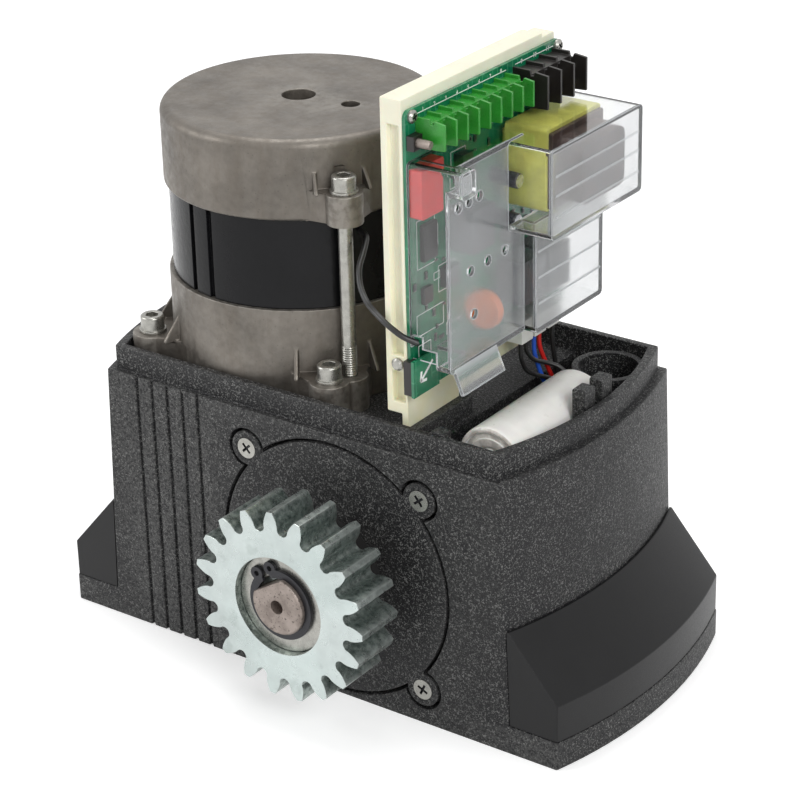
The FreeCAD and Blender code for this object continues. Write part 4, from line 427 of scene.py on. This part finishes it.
PLAIN = {
    "satin_black": dict(ground=(0.008, 0.008, 0.0085), rough=0.36, grain=1900.0, depth=0.00004, spread=0.08,
                        Specular_IOR_Level=0.25),
    "zinc_steel": dict(ground=(0.34, 0.335, 0.31), rough=0.3, metal=0.9, patch=300.0),
    "spring_black": dict(ground=(0.02, 0.02, 0.024), rough=0.32, metal=0.4, patch=300.0),
    "bronze": dict(ground=(0.62, 0.4, 0.18), rough=0.35, metal=1.0),
    "bearing_steel": dict(ground=(0.6, 0.61, 0.62), rough=0.22, metal=1.0),
    "sleeve_black": dict(ground=(0.006, 0.006, 0.007), rough=0.2, grain=350.0, depth=0.00009,
                         Specular_IOR_Level=0.15, Coat_Weight=0.06),
    "core_steel": dict(ground=(0.22, 0.22, 0.23), rough=0.45, metal=0.9),
    "copper": dict(ground=(0.62, 0.27, 0.13), rough=0.3, metal=0.9, patch=600.0),
    "seal_rubber": dict(ground=(0.02, 0.02, 0.02), rough=0.7),
    "terminal_green": dict(ground=(0.03, 0.27, 0.03), rough=0.3, Subsurface_Weight=0.15,
                           Subsurface_Scale=0.001, patch=120.0),
    "terminal_black": dict(ground=(0.014, 0.012, 0.011), rough=0.34, patch=200.0),
    "film_red": dict(ground=(0.80, 0.03, 0.025), rough=0.22, Coat_Weight=0.5),
    "tape_yellow": dict(ground=(0.80, 0.79, 0.17), rough=0.33, patch=120.0),
    "bobbin_dark": dict(ground=(0.085, 0.05, 0.04), rough=0.45, patch=150.0, spread=0.3),
    "relay_dark": dict(ground=(0.022, 0.022, 0.025), rough=0.4),
    "disc_orange": dict(ground=(0.90, 0.20, 0.02), rough=0.35),
    "connector_white": dict(ground=(0.78, 0.78, 0.74), rough=0.4),
    "wire_black": dict(ground=(0.012, 0.012, 0.012), rough=0.38, patch=300.0),
    "wire_blue": dict(ground=(0.02, 0.09, 0.5), rough=0.38),
    "wire_red": dict(ground=(0.55, 0.015, 0.012), rough=0.38),
}
SPECIAL = {
    "powder_black": powder_coat, "raw_alloy": raw_casting, "shaft_steel": turned_steel,
    "can_dark": capacitor_can, "capacitor_white": shrink_sleeve, "tray_ivory": ivory_plastic,
    "board_green": board_lacquer, "cover_clear": clear_plastic,
}
MADE = {}


def finish_of(slot):
    if slot not in MADE:
        MADE[slot] = SPECIAL[slot]() if slot in SPECIAL else plain(slot, **PLAIN[slot])
    return MADE[slot]


def wear(piece, material):
    piece.data.materials.clear()
    piece.data.materials.append(material)


# ---------------------------------------------------------------- modelling helpers
def only(piece):
    """Select one piece and make it active."""
    bpy.ops.object.select_all(action="DESELECT")
    piece.select_set(True)
    bpy.context.view_layer.objects.active = piece
    return piece


def copied(node, name):
    """A welded copy of a node's mesh, with flat faces joined."""
    piece = bpy.data.objects.new(name, frame["nodes"][node].data.copy())
    bpy.context.scene.collection.objects.link(piece)
    only(piece)
    bpy.ops.object.mode_set(mode="EDIT")
    bpy.ops.mesh.select_all(action="SELECT")
    bpy.ops.mesh.remove_doubles(threshold=WELD)
    bpy.ops.mesh.dissolve_limited(angle_limit=FLAT)
    bpy.ops.object.mode_set(mode="OBJECT")
    bpy.ops.mesh.customdata_custom_splitnormals_clear()
    return piece


def applied(piece, kind, **settings):
    """Add a modifier to a piece and apply it."""
    only(piece)
    bpy.ops.object.modifier_add(type=kind)
    item = piece.modifiers[-1]
    for name, value in settings.items():
        setattr(item, name, value)
    bpy.ops.object.modifier_apply(modifier=item.name)
    return piece


def evened(piece):
    """Let each flat face set the shading along its own edges."""
    return applied(piece, "WEIGHTED_NORMAL", keep_sharp=True, weight=80)


def rounded(piece, width, angle=BEND):
    """Round a piece's edges and smooth its curved faces."""
    applied(piece, "BEVEL", width=width, segments=2, limit_method="ANGLE",
            angle_limit=math.radians(angle), use_clamp_overlap=False)
    return evened(smoothed(piece))


def smoothed(piece, angle=38.0):
    only(piece)
    bpy.ops.object.shade_smooth_by_angle(angle=math.radians(angle))
    return piece


def seat(piece, body, slot, *nodes, keep=False):
    """Put a finished piece on its body with its finish, in place of the nodes it stands for."""
    only(piece)
    bpy.ops.object.transform_apply(location=True, rotation=True, scale=True)
    if not keep:
        wear(piece, finish_of(slot))
    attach(piece, body)
    if nodes:
        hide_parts(*nodes)
    return piece


def refined(node, width, angle=BEND):
    """A node's own shape with rounded edges."""
    piece = rounded(copied(node, node + "_finished"), width, angle)
    return seat(piece, BODY_OF[node], SLOT_OF[node], node)


def joined(pieces, name):
    bpy.ops.object.select_all(action="DESELECT")
    for piece in pieces:
        piece.select_set(True)
    bpy.context.view_layer.objects.active = pieces[0]
    bpy.ops.object.join()
    pieces[0].name = name
    return pieces[0]


def block(low, high):
    """A box between two corners."""
    low = Vector(low)
    high = Vector(high)
    bpy.ops.object.select_all(action="DESELECT")
    bpy.ops.mesh.primitive_cube_add(size=1, location=(low + high) / 2)
    piece = bpy.context.object
    piece.scale = high - low
    bpy.ops.object.transform_apply(location=True, rotation=True, scale=True)
    return piece


def islands(node):
    """The boxes of a node's separate solids, from its welded mesh."""
    piece = copied(node, node + "_parts")
    only(piece)
    bpy.ops.object.mode_set(mode="EDIT")
    bpy.ops.mesh.select_all(action="SELECT")
    bpy.ops.mesh.separate(type="LOOSE")
    bpy.ops.object.mode_set(mode="OBJECT")
    found = []
    for item in list(bpy.context.selected_objects):
        spots = [vertex.co for vertex in item.data.vertices]
        low = Vector(min(spot[axis] for spot in spots) for axis in range(3))
        high = Vector(max(spot[axis] for spot in spots) for axis in range(3))
        found.append((low, high))
        bpy.data.objects.remove(item)
    return sorted(found, key=lambda pair: tuple(pair[0]))


def cross_cut(piece, spots, axis, width, reach, depth):
    """Cut a cross recess into a screw head at each spot, its walls given a dark finish as painted shade;
    axis is the way the head faces.
    """
    arms = []
    for spot, lean in spots:
        for quarter in (0, 1):
            bpy.ops.object.select_all(action="DESELECT")
            bpy.ops.mesh.primitive_cube_add(size=1, location=(0, 0, 0))
            arm = bpy.context.object
            arm.scale = (2 * reach, width, 2 * depth)
            bpy.ops.object.transform_apply(location=False, rotation=False, scale=True)
            turn = Matrix.Rotation(lean + quarter * math.pi / 2, 4, "Z")
            facing = Vector((0, 0, 1)).rotation_difference(Vector(axis)).to_matrix().to_4x4()
            arm.data.transform(Matrix.Translation(spot) @ facing @ turn)
            arms.append(arm)
    tool = joined(arms, "cross_tool")
    # Painted shade: the recess walls take the tool's dark finish.
    wear(tool, finish_of("spring_black"))
    applied(piece, "BOOLEAN", operation="DIFFERENCE", object=tool, solver="EXACT", use_self=True,
            material_mode="TRANSFER")
    bpy.data.objects.remove(tool)
    return piece


# ---------------------------------------------------------------- castings
class GATEMOTOR_OT_castings(bpy.types.Operator):
    """Round the edges of the housing, the front plate and the foot covers"""
    bl_idname = "gatemotor.castings"
    bl_label = "Castings"

    def execute(self, context):
        refined("housing", sizes().cast_edge)
        refined("gearbox_cover", sizes().cast_edge)
        for node in ("foot_cover_left", "foot_cover_right"):
            refined(node, sizes().plastic_edge)
        return {"FINISHED"}


class GATEMOTOR_OT_motor(bpy.types.Operator):
    """Round the motor's end castings and sleeve"""
    bl_idname = "gatemotor.motor"
    bl_label = "Motor"

    def execute(self, context):
        refined("motor_lower_bell", sizes().cast_edge)
        refined("motor_upper_cap", sizes().cast_edge)
        refined("stator_core", sizes().metal_edge)
        return {"FINISHED"}


# ---------------------------------------------------------------- pinion
class GATEMOTOR_OT_pinion(bpy.types.Operator):
    """Break the edges of the pinion, its washer, ring and shaft end"""
    bl_idname = "gatemotor.pinion"
    bl_label = "Pinion"

    def execute(self, context):
        gear = refined("output_gear", sizes().metal_edge * 1.4, angle=40.0)
        wear(gear, zinc_plate())
        refined("gear_washer", sizes().metal_edge)
        refined("retaining_ring", sizes().metal_edge)
        refined("output_shaft", sizes().metal_edge, angle=40.0)
        return {"FINISHED"}


# ---------------------------------------------------------------- fasteners
class GATEMOTOR_OT_screws(bpy.types.Operator):
    """Cut the cross recesses of the plate, terminal and board screws"""
    bl_idname = "gatemotor.screws"
    bl_label = "Screws"

    def execute(self, context):
        width = sizes().cross_width
        draw = random.Random(11)
        plan = (("cover_screws", (0, -1, 0), 2.6 * MM, 1.3 * MM),
                ("terminal_screws", (1, 0, 0), 1.9 * MM, 0.9 * MM),
                ("board_screws", (1, 0, 0), 1.5 * MM, 0.9 * MM))
        for node, axis, reach, depth in plan:
            spots = []
            for low, high in islands(node):
                middle = (low + high) / 2
                if node == "board_screws" and low.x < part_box("circuit_board")[0].x:
                    continue
                face = Vector(high[i] if axis[i] > 0 else low[i] if axis[i] < 0 else middle[i]
                              for i in range(3))
                spots.append((face, draw.uniform(0.2, 1.2)))
            piece = copied(node, node + "_finished")
            wear(piece, finish_of(SLOT_OF[node]))
            cross_cut(piece, spots, axis, width * (1 if node == "cover_screws" else 0.7), reach, depth)
            smoothed(piece)
            seat(piece, BODY_OF[node], SLOT_OF[node], node, keep=True)
        return {"FINISHED"}


class GATEMOTOR_OT_bolts(bpy.types.Operator):
    """Round the socket bolts and wind the thread that shows on the tie bolts"""
    bl_idname = "gatemotor.bolts"
    bl_label = "Bolts"

    def execute(self, context):
        refined("flange_bolts", sizes().metal_edge)
        refined("tie_bolts", sizes().metal_edge)
        head_and_washer = 7.3 * MM
        lug_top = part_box("flange_bolts")[1].z - head_and_washer
        pitch = sizes().thread_pitch
        turns = int(sizes().thread_length / pitch)
        radius = 3.0 * MM
        grow = (radius + sizes().thread_depth * 0.45) / radius
        threads = []
        for low, high in islands("tie_bolts"):
            middle = (low + high) / 2
            bpy.ops.object.select_all(action="DESELECT")
            bpy.ops.mesh.primitive_circle_add(vertices=32, radius=radius,
                                              location=(middle.x, middle.y, lug_top))
            thread = bpy.context.object
            bpy.ops.object.mode_set(mode="EDIT")
            bpy.ops.mesh.select_all(action="SELECT")
            for scale in (grow, 1 / grow) * turns:
                bpy.ops.mesh.extrude_region_move(TRANSFORM_OT_translate={"value": (0, 0, pitch * 0.5)})
                bpy.ops.transform.resize(value=(scale, scale, 1))
            bpy.ops.object.mode_set(mode="OBJECT")
            threads.append(smoothed(thread, 20.0))
        seat(joined(threads, "tie_bolt_threads"), "frame", "zinc_steel")
        return {"FINISHED"}


# ---------------------------------------------------------------- controller
class GATEMOTOR_OT_controller(bpy.types.Operator):
    """Round the tray, terminals, switch and the parts on the board"""
    bl_idname = "gatemotor.controller"
    bl_label = "Controller"

    def execute(self, context):
        edge = sizes().plastic_edge
        for node, width in (("controller_tray", edge * 1.6), ("signal_terminals", edge * 0.6),
                            ("mains_terminals", edge * 0.6), ("learn_button_case", edge * 0.5),
                            ("film_capacitor", edge), ("transformer_coil", edge), ("transformer_core", edge),
                            ("relays", edge), ("board_chips", edge * 0.4), ("wire_connectors", edge),
                            ("header_strip", edge * 0.5), ("varistor_disc", edge),
                            ("run_capacitor", edge * 1.5), ("circuit_board", edge * 0.3),
                            ("receiver_board", edge * 0.3)):
            refined(node, width)
        return {"FINISHED"}


def strokes(name, lines, face, lift):
    """Printed lines on the board's face, each from one spot to another in Y and Z, with its width."""
    pieces = []
    for (y0, z0), (y1, z1), width in lines:
        start = Vector((0, y0, z0))
        end = Vector((0, y1, z1))
        run = end - start
        piece = block((0, 0, -width / 2), (lift, run.length, width / 2))
        turn = math.atan2(run.z, run.y)
        piece.data.transform(Matrix.Translation((face, y0, z0)) @ Matrix.Rotation(turn, 4, "X"))
        pieces.append(piece)
    return joined(pieces, name)


class GATEMOTOR_OT_board_print(bpy.types.Operator):
    """Print the board: numbers by the poles, lines and outlines, and the arrow on the receiver board"""
    bl_idname = "gatemotor.board_print"
    bl_label = "Board print"
    # the printed outlines in millimetres: lower corner in Y and Z, width and height
    OUTLINES = ((-49, 194, 12, 20), (-35, 180, 10, 11), (-50, 166, 18, 9), (-26, 220, 10, 13),
                (0, 160, 20, 24), (-50, 150, 9, 12), (-48, 218, 6, 4), (-40, 200, 5, 9),
                (-46, 205, 4, 3), (-38, 186, 4, 3), (-30, 160, 8, 5))

    def execute(self, context):
        ink = plain("board_ink", (0.82, 0.84, 0.82), 0.5)
        board_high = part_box("circuit_board")[1]
        face = board_high.x
        lift = sizes().print_lift
        thin = 0.35 * MM
        signal_low, signal_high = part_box("signal_terminals")
        mains_low, mains_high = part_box("mains_terminals")
        line_z = board_high.z - 3.0 * MM
        signal_z = signal_high.z + 0.9 * MM
        mains_z = mains_high.z + 0.5 * MM
        lines = [((signal_low.y, signal_z), (signal_high.y, signal_z), thin),
                 ((mains_low.y + 2 * MM, mains_z), (mains_high.y, mains_z), thin)]
        for y0, z0, wide, tall in self.OUTLINES:
            corners = [(y0, z0), (y0 + wide, z0), (y0 + wide, z0 + tall), (y0, z0 + tall)]
            for first, second in zip(corners, corners[1:] + corners[:1]):
                lines.append((tuple(MM * part for part in first), tuple(MM * part for part in second), thin))
        pieces = [strokes("board_lines", lines, face, lift)]
        signal_poles = 8
        mains_poles = 3
        end_fin = 1.3 * MM
        pitch = (signal_high.y - signal_low.y - end_fin) / signal_poles
        mains_pitch = 9.5 * MM
        spots = [signal_low.y + (index + 0.7) * pitch for index in range(signal_poles)]
        spots += [mains_low.y + (index + 0.7) * mains_pitch for index in range(mains_poles)]
        stand = Matrix.Rotation(math.radians(90), 4, "Z") @ Matrix.Rotation(math.radians(90), 4, "X")
        for number, y in enumerate(spots, 1):
            bpy.ops.object.select_all(action="DESELECT")
            bpy.ops.object.text_add(location=(0, 0, 0))
            mark = bpy.context.object
            mark.data.body = str(number)
            mark.data.size = sizes().print_height
            mark.data.extrude = lift / 2
            mark.data.align_x = "CENTER"
            only(mark)
            bpy.ops.object.convert(target="MESH")
            mark = bpy.context.object
            mark.data.transform(Matrix.Translation((face + lift / 2, y, line_z)) @ stand)
            pieces.append(mark)
        printed = seat(joined(pieces, "board_print"), "frame", "connector_white")
        wear(printed, ink)
        self.arrow(ink, lift)
        return {"FINISHED"}

    def arrow(self, ink, lift):
        """A plain arrow on the receiver board, pointing down towards its edge."""
        low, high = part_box("receiver_board")
        middle = (low + high) / 2
        tail = Vector((high.x, middle.y + 4.2 * MM, middle.z + 4.4 * MM))
        tip = Vector((high.x, middle.y - 4.2 * MM, middle.z - 2.0 * MM))
        thick = 1.2 * MM
        lines = [((tail.y, tail.z), (tip.y, tip.z), thick)]
        run = (tip - tail).normalized()
        for side in (-0.75, 0.75):
            back = Matrix.Rotation(side, 3, "X") @ (-run) * 4.2 * MM
            lines.append(((tip.y, tip.z), (tip.y + back.y, tip.z + back.z), thick))
        drawn = seat(strokes("receiver_arrow", lines, high.x, lift), "frame", "connector_white")
        wear(drawn, ink)


class GATEMOTOR_OT_board_parts(bpy.types.Operator):
    """Scatter small resistors and capacitors over the free parts of the board"""
    bl_idname = "gatemotor.board_parts"
    bl_label = "Board parts"

    def execute(self, context):
        draw = random.Random(7)
        low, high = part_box("circuit_board")
        margin = 1.0 * MM
        end = 0.35 * MM
        taken = []
        for node in ("relays", "board_chips", "film_capacitor", "transformer_coil", "filter_capacitors",
                     "varistor_disc", "wire_connectors", "receiver_board", "signal_terminals",
                     "mains_terminals", "learn_button_case"):
            taken += islands(node)
        bodies = []
        caps = []
        tries = 0
        while len(bodies) < sizes().chip_count and tries < 4000:
            tries += 1
            upright = draw.random() < 0.5
            size = draw.choice(((2.0, 1.25), (3.2, 1.6), (1.6, 0.8)))
            wide, tall = (size if not upright else size[::-1])
            y = draw.uniform(low.y + 3 * MM, high.y - 6 * MM)
            z = draw.uniform(low.z + 8 * MM, high.z - 24 * MM)
            spot_low = Vector((high.x, y, z))
            spot_high = Vector((high.x + 0.6 * MM, y + wide * MM, z + tall * MM))
            if any(spot_low.y < b.y + margin and spot_high.y > a.y - margin and spot_low.z < b.z + margin
                   and spot_high.z > a.z - margin for a, b in taken):
                continue
            taken.append((spot_low, spot_high))
            bodies.append(block(spot_low, spot_high))
            along = 2 if upright else 1
            for side in (0, 1):
                cap_low = spot_low.copy()
                cap_high = spot_high + Vector((0.05 * MM, 0, 0))
                if side:
                    cap_low[along] = spot_high[along] - end
                else:
                    cap_high[along] = spot_low[along] + end
                caps.append(block(cap_low, cap_high))
        for pieces, name, slot in ((bodies, "board_small_parts", "relay_dark"),
                                   (caps, "board_small_part_ends", "zinc_steel")):
            piece = applied(joined(pieces, name), "BEVEL", width=PART_EDGE, segments=2, limit_method="ANGLE",
                            angle_limit=math.radians(BEND))
            seat(smoothed(piece), "frame", slot)
        return {"FINISHED"}


class GATEMOTOR_OT_clear_cover(bpy.types.Operator):
    """Smooth the clear cover and add the three fine ridges of its shelf box"""
    bl_idname = "gatemotor.clear_cover"
    bl_label = "Clear cover"

    def execute(self, context):
        shell = evened(smoothed(copied("board_cover", "board_cover_finished"), 30.0))
        root, top = 77.4 * MM, 77.9 * MM
        front, back = -1.5 * MM, 45 * MM
        half = 0.3 * MM
        ridges = []
        for high in (168.1 * MM, 179.3 * MM, 190.5 * MM):
            ridge = block((root, front, high - half), (top, back, high + half))
            ridges.append(applied(ridge, "BEVEL", width=PART_EDGE, segments=2, limit_method="ANGLE"))
        shell = joined([shell, *ridges], "board_cover_finished")
        seat(shell, BODY_OF["board_cover"], SLOT_OF["board_cover"], "board_cover")
        return {"FINISHED"}


# ---------------------------------------------------------------- what stays plain
class GATEMOTOR_OT_finishes(bpy.types.Operator):
    """Give every construction node its finish"""
    bl_idname = "gatemotor.finishes"
    bl_label = "Finishes"

    def execute(self, context):
        for node, piece in frame["nodes"].items():
            wear(piece, finish_of(SLOT_OF[node]))
        return {"FINISHED"}


# ---------------------------------------------------------------- stage
def seen_ray(tree):
    """1 for what is seen straight, in a mirror or through a clear piece, 0 for the light that bounces."""
    path = tree.nodes.new("ShaderNodeLightPath")
    seen = path.outputs["Is Camera Ray"]
    for name in ("Is Glossy Ray", "Is Transmission Ray"):
        either = tree.nodes.new("ShaderNodeMath")
        either.operation = "MAXIMUM"
        tree.links.new(seen, either.inputs[0])
        tree.links.new(path.outputs[name], either.inputs[1])
        seen = either.outputs["Value"]
    return seen


def backdrop_material():
    """Pale to the camera and in mirrors, a quiet grey to the light it bounces."""
    made = bpy.data.materials.new("pale_floor")
    made.use_nodes = True
    tree = made.node_tree
    shader = tree.nodes["Principled BSDF"]
    shader.inputs["Base Color"].default_value = (0.88, 0.88, 0.88, 1)
    shader.inputs["Roughness"].default_value = 0.9
    shader.inputs["Emission Color"].default_value = (1, 1, 1, 1)
    glow = tree.nodes.new("ShaderNodeMath")
    glow.operation = "MULTIPLY"
    tree.links.new(seen_ray(tree), glow.inputs[0])
    glow.inputs[1].default_value = 0.38
    tree.links.new(glow.outputs["Value"], shader.inputs["Emission Strength"])
    return made


class GATEMOTOR_OT_stage(bpy.types.Operator):
    """Set the floor, the soft lights, the world and the camera"""
    bl_idname = "gatemotor.stage"
    bl_label = "Stage"

    def execute(self, context):
        bpy.ops.object.select_all(action="DESELECT")
        bpy.ops.mesh.primitive_plane_add(size=8, location=(0, 0, 0))
        floor = bpy.context.object
        floor.name = "stage_floor"
        wear(floor, backdrop_material())
        self.lamp("key_light", (1.5, -0.9, 1.2), 0.9, 22.0)
        self.lamp("fill_light", (-1.4, -1.1, 0.9), 0.9, 14.0)
        self.lamp("top_light", (-0.2, 0.3, 1.8), 1.1, 16.0)
        self.world(context.scene)
        self.camera(context.scene)
        return {"FINISHED"}

    def lamp(self, name, spot, size, power):
        data = bpy.data.lights.new(name, "AREA")
        data.size = size
        data.energy = power
        lamp = bpy.data.objects.new(name, data)
        bpy.context.scene.collection.objects.link(lamp)
        lamp.location = spot
        aim = Vector((0, 0, 0.12)) - Vector(spot)
        lamp.rotation_euler = aim.to_track_quat("-Z", "Y").to_euler()

    def world(self, scene):
        world = bpy.data.worlds.new("studio")
        scene.world = world
        world.use_nodes = True
        tree = world.node_tree
        ground = tree.nodes["Background"]
        ground.inputs["Color"].default_value = (1, 1, 1, 1)
        level = tree.nodes.new("ShaderNodeMapRange")
        tree.links.new(seen_ray(tree), level.inputs["Value"])
        level.inputs["To Min"].default_value = 0.28
        level.inputs["To Max"].default_value = 1.0
        tree.links.new(level.outputs["Result"], ground.inputs["Strength"])

    def camera(self, scene):
        stage = scene.gate_motor_stage
        data = bpy.data.cameras.new("camera")
        data.lens = stage.lens
        data.sensor_width = 36.0
        data.shift_x = stage.shift_x
        data.shift_y = stage.shift_y
        camera = bpy.data.objects.new("camera", data)
        scene.collection.objects.link(camera)
        yaw = stage.camera_yaw
        pitch = stage.camera_pitch
        roll = stage.camera_roll
        right = Vector((math.cos(yaw), math.sin(yaw), 0))
        ahead = Vector((-math.sin(yaw) * math.cos(pitch), math.cos(yaw) * math.cos(pitch), math.sin(pitch)))
        up = right.cross(ahead)
        across = math.cos(roll) * right + math.sin(roll) * up
        rise = math.cos(roll) * up - math.sin(roll) * right
        turn = Matrix((across, rise, -ahead)).transposed().to_4x4()
        camera.matrix_world = Matrix.Translation(stage.camera_place) @ turn
        scene.camera = camera
        scene.view_settings.view_transform = "Standard"


class GATEMOTOR_PT_panel(bpy.types.Panel):
    """Lists the pieces and their settings"""
    bl_idname = "GATEMOTOR_PT_panel"
    bl_label = "Gate Motor"
    bl_space_type = "VIEW_3D"
    bl_region_type = "UI"
    bl_category = "Gate Motor"

    def draw(self, context):
        scene = context.scene
        for group in (scene.gate_motor_sizes, scene.gate_motor_colours, scene.gate_motor_stage):
            box = self.layout.box()
            for name in group.__annotations__:
                box.prop(group, name)
        for operator in STEPS:
            self.layout.operator(operator.bl_idname)


STEPS = (GATEMOTOR_OT_finishes, GATEMOTOR_OT_castings, GATEMOTOR_OT_motor, GATEMOTOR_OT_pinion,
         GATEMOTOR_OT_screws, GATEMOTOR_OT_bolts, GATEMOTOR_OT_controller, GATEMOTOR_OT_board_print,
         GATEMOTOR_OT_board_parts, GATEMOTOR_OT_clear_cover, GATEMOTOR_OT_stage)
GROUPS = (("gate_motor_sizes", GateMotorSizes), ("gate_motor_colours", GateMotorColours),
          ("gate_motor_stage", GateMotorStage))


def register():
    for name, group in GROUPS:
        bpy.utils.register_class(group)
        setattr(bpy.types.Scene, name, PointerProperty(type=group))
    for item in (*STEPS, GATEMOTOR_PT_panel):
        bpy.utils.register_class(item)


def unregister():
    for item in (*STEPS, GATEMOTOR_PT_panel):
        bpy.utils.unregister_class(item)
    for name, group in GROUPS:
        delattr(bpy.types.Scene, name)
        bpy.utils.unregister_class(group)


def main():
    register()
    for step in STEPS:
        group, name = step.bl_idname.split(".")
        getattr(getattr(bpy.ops, group), name)()


if __name__ == "__main__":
    main()
